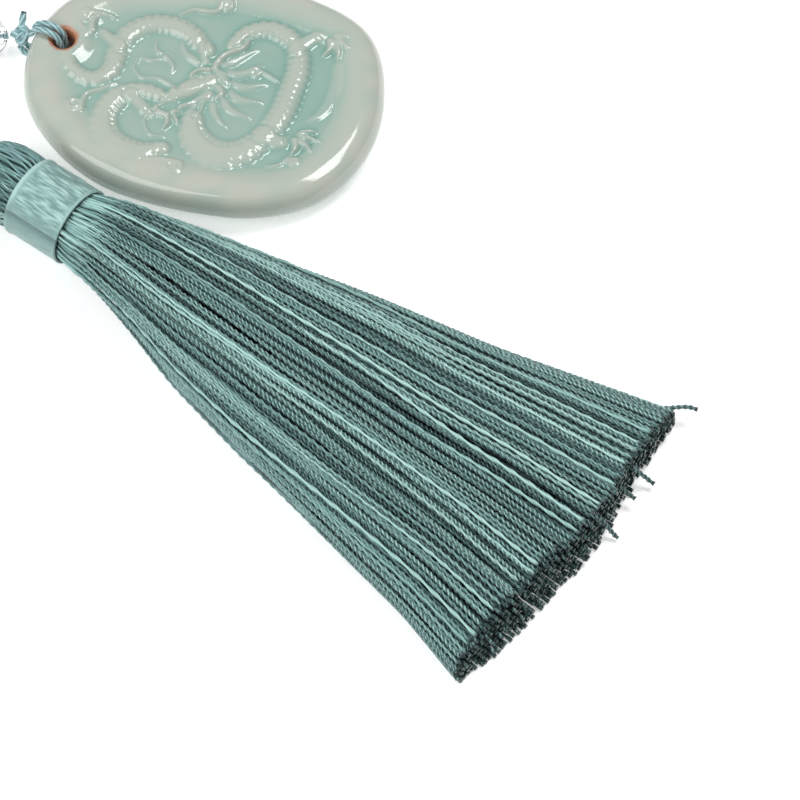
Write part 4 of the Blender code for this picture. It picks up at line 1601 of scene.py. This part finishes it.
    def _bore(self, piece: bpy.types.Object, layout: Layout) -> None:
        """Cut the cord hole.

        Args:
            piece: The piece.
            layout: The layout.
        """
        bm = bmesh.new()
        bmesh.ops.create_cone(bm, cap_ends=True, segments=64, radius1=self.hole_radius * MM,
                              radius2=self.hole_radius * MM, depth=0.012)
        spot = layout.place(np.array([*self.hole, 3.5]))
        bmesh.ops.translate(bm, vec=tuple(spot), verts=bm.verts)
        mesh = bpy.data.meshes.new("hole_drill")
        bm.to_mesh(mesh)
        bm.free()
        drill = bpy.data.objects.new("hole_drill", mesh)
        bpy.context.scene.collection.objects.link(drill)
        cut = piece.modifiers.new("hole", "BOOLEAN")
        cut.operation = "DIFFERENCE"
        cut.solver = "EXACT"
        cut.object = drill
        bpy.context.view_layer.update()
        mesh = bpy.data.meshes.new_from_object(piece.evaluated_get(bpy.context.evaluated_depsgraph_get()))
        piece.modifiers.clear()
        old, piece.data = piece.data, mesh
        mesh.name = piece.name
        bpy.data.meshes.remove(old)
        bpy.data.objects.remove(drill, do_unlink=True)

    def _mark(self, piece: bpy.types.Object, relief: Relief, layout: Layout) -> None:
        """Store the glaze's depth with its painted side shade, the bare clay and the darker brown on the cut mesh.

        Args:
            piece: The piece.
            relief: The raised picture.
            layout: The layout.
        """
        count = len(piece.data.vertices)
        flat = np.zeros(count * 3, np.float32)
        piece.data.vertices.foreach_get("co", flat)
        place = flat.reshape(-1, 3) / MM - np.asarray(layout.shift) - np.array([*self.centre, 0.0])
        pool_and_side_shade, clay, hole_and_foot_dark = self._tints(place[:, 0], place[:, 1], place[:, 2], relief)
        Shape.mark(piece, "pool_and_side_shade", pool_and_side_shade)
        Shape.mark(piece, "clay", clay)
        Shape.mark(piece, "hole_and_foot_dark", hole_and_foot_dark)


@dataclass
class GlassBead:
    """Bored ball of clear glass on the plate's cord.

    Attributes:
        radius: Radius of the ball.
        bore: Radius of the bore.
        run: Direction of the bore.
    """

    centre = (-60.25, 60.6, 3.1)
    radius: float = 3.1
    bore: float = 0.95
    run: Point = (-5.0, 0.3, -0.25)

    def build(self, look: bpy.types.Material, layout: Layout) -> None:
        """Turn the bead about its bore.

        Args:
            look: Its material.
            layout: The layout.
        """
        start = math.asin(self.bore / self.radius)
        arc = np.linspace(start + 0.05, math.pi - start - 0.05, 36)
        outer = [(self.radius * math.cos(a), self.radius * math.sin(a)) for a in arc]
        end = outer[0][0]
        wall = [(-end - 0.02, self.bore + 0.08), (-end + 0.12, self.bore), (0.0, self.bore - 0.02),
                (end - 0.12, self.bore), (end + 0.02, self.bore + 0.08)]
        profile = outer + wall
        axis = np.array(self.run) / np.linalg.norm(self.run)
        side = np.cross(axis, (0, 0, 1.0))
        side /= np.linalg.norm(side)
        up = np.cross(side, axis)
        turns = np.linspace(0, TAU, 72, endpoint=False)
        rows = []
        for along, radius in profile + profile[:1]:
            rows.append(np.array(self.centre) + axis * along
                        + radius * (np.cos(turns)[:, None] * side + np.sin(turns)[:, None] * up))
        piece = Shape.mesh("bead_glass", np.concatenate(rows), [Shape.grid_faces(len(rows), 72, True)], layout)
        Shape.outward(piece)
        Shape.finish(piece, look, "clear_glass", "glass_bead")


@dataclass
class Cords:
    """The knotted cord: through the plate, the bead, the joining knot and the tassel."""

    plate_loop: tuple = (
        (-53.3, 59.75, 5.35), (-52.75, 59.5, 6.75), (-51.6, 58.95, 7.65), (-50.3, 58.3, 7.8), (-49.25, 57.8, 7.05),
        (-48.9, 57.6, 5.4), (-48.9, 57.6, 2.6), (-49.5, 57.9, 0.95), (-51.2, 58.7, 0.58), (-53.6, 59.6, 0.58),
        (-54.7, 60.0, 1.0), (-55.15, 60.15, 1.95))
    spread: tuple = ((0.0, 0.58), (0.3, 0.66), (0.62, 0.66), (1.0, 0.58))
    stem: tuple = (
        (-57.05, 60.3, 3.6), (-58.4, 60.45, 3.25), (-60.25, 60.6, 3.1), (-63.4, 60.75, 3.0), (-67.0, 59.5, 2.2),
        (-70.0, 57.0, 1.9), (-72.75, 54.2, 2.2))
    tassel: tuple = (
        (-60.85, 36.55, 6.0), (-63.4, 38.6, 5.3), (-66.9, 42.2, 3.4), (-70.2, 46.2, 2.2), (-72.85, 49.55, 2.3))
    loop: tuple = (
        (-77.1, 53.3, 2.2), (-80.6, 55.1, 0.95), (-88.0, 58.6, 0.55), (-100.0, 60.7, 0.52), (-112.0, 58.9, 0.52),
        (-118.3, 53.0, 0.52), (-112.6, 47.2, 0.52), (-101.0, 44.9, 0.52), (-89.0, 46.8, 0.55),
        (-81.0, 49.9, 0.95), (-77.1, 51.4, 2.2))
    loop_length: float = 0.0913
    knot: Point = (-55.15, 60.15, 4.0)
    join: Point = (-74.5, 52.0, 2.4)
    strand: YarnSpec = YarnSpec(7.0, 0.22, 4, 16, 0.26)
    thin: YarnSpec = YarnSpec(4.2, 0.22, 3, 12, 0.28)

    def _loop_line(self, hand: float) -> np.ndarray:
        """Line of one of the two strands through the plate.

        Args:
            hand: Side that the strand lies on, 1 or -1.

        Returns:
            Points of its middle line.
        """
        line = smooth_line(self.plate_loop, 0.6)
        share = np.linspace(0, 1, len(line))
        offset = np.interp(share, *np.array(self.spread).T) * hand
        return line + offset[:, None] * np.array([0.3817, 0.9243, 0.0])

    @staticmethod
    def _tied(centre: Point, size: float, rise: float, turn: float) -> np.ndarray:
        """Line of a tight overhand knot about a centre.

        Args:
            centre: Middle of the knot.
            size: Reach of the line.
            rise: Reach of the line up and down.
            turn: Turn about the vertical.

        Returns:
            The line, closed on itself.
        """
        t = np.linspace(0, TAU, 60)
        x = (np.sin(t) + 2 * np.sin(2 * t)) / 3 * size
        y = (np.cos(t) - 2 * np.cos(2 * t)) / 3 * size
        z = -np.sin(3 * t) * rise
        c, s = math.cos(turn), math.sin(turn)
        return np.stack([centre[0] + c * x - s * y, centre[1] + s * x + c * y, centre[2] + z], -1)

    def build(self, twist: TwistedYarn, look: bpy.types.Material, layout: Layout) -> None:
        """Lay the cords and tie the knots.

        Args:
            twist: The yarn tree.
            look: Its material.
            layout: The layout.
        """
        for name, hand in (("plate_loop_back", 1.0), ("plate_loop_front", -1.0)):
            line = self._loop_line(hand)
            piece = twist.lay(name + "_cord", [YarnPath.even(line, 0.5, 0.62, hand)], self.strand, look, layout)
            Shape.finish(piece, look, "cord_yarn", name)
        pair = []
        line = smooth_line(self.stem, 0.35)
        turn = np.linspace(0, 2.2 * TAU, len(line))
        for half in (0.0, math.pi):
            swing = np.stack([0 * turn, np.cos(turn + half), np.sin(turn + half)], -1) * 0.27
            pair.append(YarnPath.even(line + swing, 0.28, 0.6, half))
        stem = twist.lay("bead_cord", pair, self.thin, look, layout)
        Shape.finish(stem, look, "cord_yarn", "plate_cord")
        hang = twist.lay("tassel_cord_plied", [YarnPath.even(smooth_line(self.tassel, 0.5), 0.5, 0.55)],
                         self.strand, look, layout)
        Shape.finish(hang, look, "cord_yarn", "tassel_cord")
        self._knots(twist, look, layout)
        self._hanging_loop(twist, look, layout)

    def _knots(self, twist: TwistedYarn, look: bpy.types.Material, layout: Layout) -> None:
        """Tie the small knot with its sealed end, and the joining knot.

        Args:
            twist: The yarn tree.
            look: Its material.
            layout: The layout.
        """
        body = YarnPath.even(self._tied(self.knot, 1.05, 0.62, 0.4), 0.62, 0.6)
        core = YarnPath.even(self._tied(self.knot, 0.55, 0.8, 1.5), 0.62, 0.45)
        end = smooth_line(((-55.1, 60.6, 4.3), (-55.0, 61.4, 4.9), (-54.85, 62.2, 5.3), (-54.75, 63.1, 5.45)), 0.25)
        tip = smooth_step(0.78, 0.92, np.linspace(0, 1, len(end)))
        stub = YarnPath(end, np.linspace(0.62, 0.52, len(end)), 0.65, 0.0, tip)
        piece = twist.lay("plate_knot_tied", [body, core, stub], self.strand, look, layout)
        Shape.finish(piece, look, "knot_yarn", "plate_knot")
        body = YarnPath.even(self._tied(self.join, 1.62, 0.95, 0.9), 0.78, 0.55)
        core = YarnPath.even(self._tied(self.join, 0.9, 1.1, 2.2), 0.85, 0.45)
        piece = twist.lay("join_knot_tied", [body, core], self.strand, look, layout)
        Shape.finish(piece, look, "knot_yarn", "join_knot")

    def _hanging_loop(self, twist: TwistedYarn, look: bpy.types.Material, layout: Layout) -> None:
        """Lay the loop that the pendant hangs by.

        Args:
            twist: The yarn tree.
            look: Its material.
            layout: The layout.
        """
        fine = smooth_line(self.loop, 0.8)
        piece = twist.lay("hanging_loop_cord", [YarnPath.even(fine, 0.5, 0.55)], self.strand, look, layout)
        Shape.finish(piece, look, "cord_yarn", "hanging_loop")


@dataclass
class Studio:
    """Table, soft light and the camera.

    Attributes:
        rise: Angle of the camera above the table.
        distance: Distance from the camera to the point it looks at.
        lens: Focal length on a sensor 36 mm wide.
    """

    rise: float = math.radians(58.0)
    distance: float = 0.6
    lens: float = 194.4

    def build(self, layout: Layout) -> None:
        """Set up the camera, the table and the lights.

        Args:
            layout: The layout.
        """
        target = layout.place(np.array([0.0, 0.0, 0.0]))
        self._camera(target)
        self._table(target)
        self._lights(target)

    def _camera(self, target: np.ndarray) -> None:
        """Place the camera at the photograph's viewing angle.

        Args:
            target: The point that the camera looks at.
        """
        data = bpy.data.cameras.new("camera")
        data.lens = self.lens
        data.sensor_width = 36.0
        data.clip_start = 0.01
        camera = bpy.data.objects.new("camera", data)
        bpy.context.scene.collection.objects.link(camera)
        camera.location = (target[0], target[1] - self.distance * math.cos(self.rise),
                           self.distance * math.sin(self.rise))
        camera.rotation_euler = (math.pi / 2 - self.rise, 0.0, 0.0)
        bpy.context.scene.camera = camera

    @staticmethod
    def _table(target: np.ndarray) -> None:
        """Lay the plain pale table.

        Args:
            target: The point that the camera looks at.
        """
        bm = bmesh.new()
        bmesh.ops.create_grid(bm, x_segments=1, y_segments=1, size=2.0)
        bmesh.ops.translate(bm, vec=(target[0], target[1], -0.00002), verts=bm.verts)
        mesh = bpy.data.meshes.new("table")
        bm.to_mesh(mesh)
        bm.free()
        mesh.materials.append(TableFinish().material())
        table = bpy.data.objects.new("table", mesh)
        bpy.context.scene.collection.objects.link(table)

    @staticmethod
    def _lights(target: np.ndarray) -> None:
        """Hang the soft boxes and set the room's light.

        Args:
            target: The point that the camera looks at.
        """
        for name, place, size, power in (
            ("right_box", (0.25, 0.2, 0.7), (0.42, 0.2), 3.3),
            ("left_box", (-0.5, -0.3, 0.58), (0.6, 0.6), 4.3),
        ):
            data = bpy.data.lights.new(name, "AREA")
            data.shape = "RECTANGLE"
            data.size, data.size_y = size
            data.energy = power
            lamp = bpy.data.objects.new(name, data)
            bpy.context.scene.collection.objects.link(lamp)
            lamp.location = (target[0] + place[0], target[1] + place[1], place[2])
            lamp.rotation_euler = lamp_turn(place)
        world = bpy.data.worlds.new("room")
        world.use_nodes = True
        world.node_tree.nodes["Background"].inputs[0].default_value = (1.0, 1.0, 1.0, 1.0)
        world.node_tree.nodes["Background"].inputs[1].default_value = 0.3
        bpy.context.scene.world = world
        bpy.context.scene.view_settings.view_transform = "Standard"


def lamp_turn(place: Point) -> tuple:
    """Turn a lamp at a place so that it looks at the middle of the table."""
    return tuple((-Vector(place)).to_track_quat("-Z", "Y").to_euler())


def main() -> None:
    """Build the pendant's finished look in order."""
    logging.basicConfig(level=logging.INFO, format="%(name)s %(message)s")
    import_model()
    layout = Layout.read()
    Studio().build(layout)
    twist = TwistedYarn()
    yarn = YarnFinish("tassel_yarn_look").material()
    cord = YarnFinish("cord_yarn_look", deep=srgb(0.42, 0.54, 0.56), middle=srgb(0.56, 0.69, 0.71),
                      light=srgb(0.78, 0.88, 0.89), roughness=0.28, groove=0.75).material()
    Cords().build(twist, cord, layout)
    GlassBead().build(GlassFinish().material(), layout)
    CeramicPlate().build(GlazeFinish().material(), layout)
    NeckBand().build(RibbonFinish().material(), layout)
    TasselHead().build(twist, yarn, layout)
    Skirt().build(twist, yarn, layout)


if __name__ == "__main__":
    main()
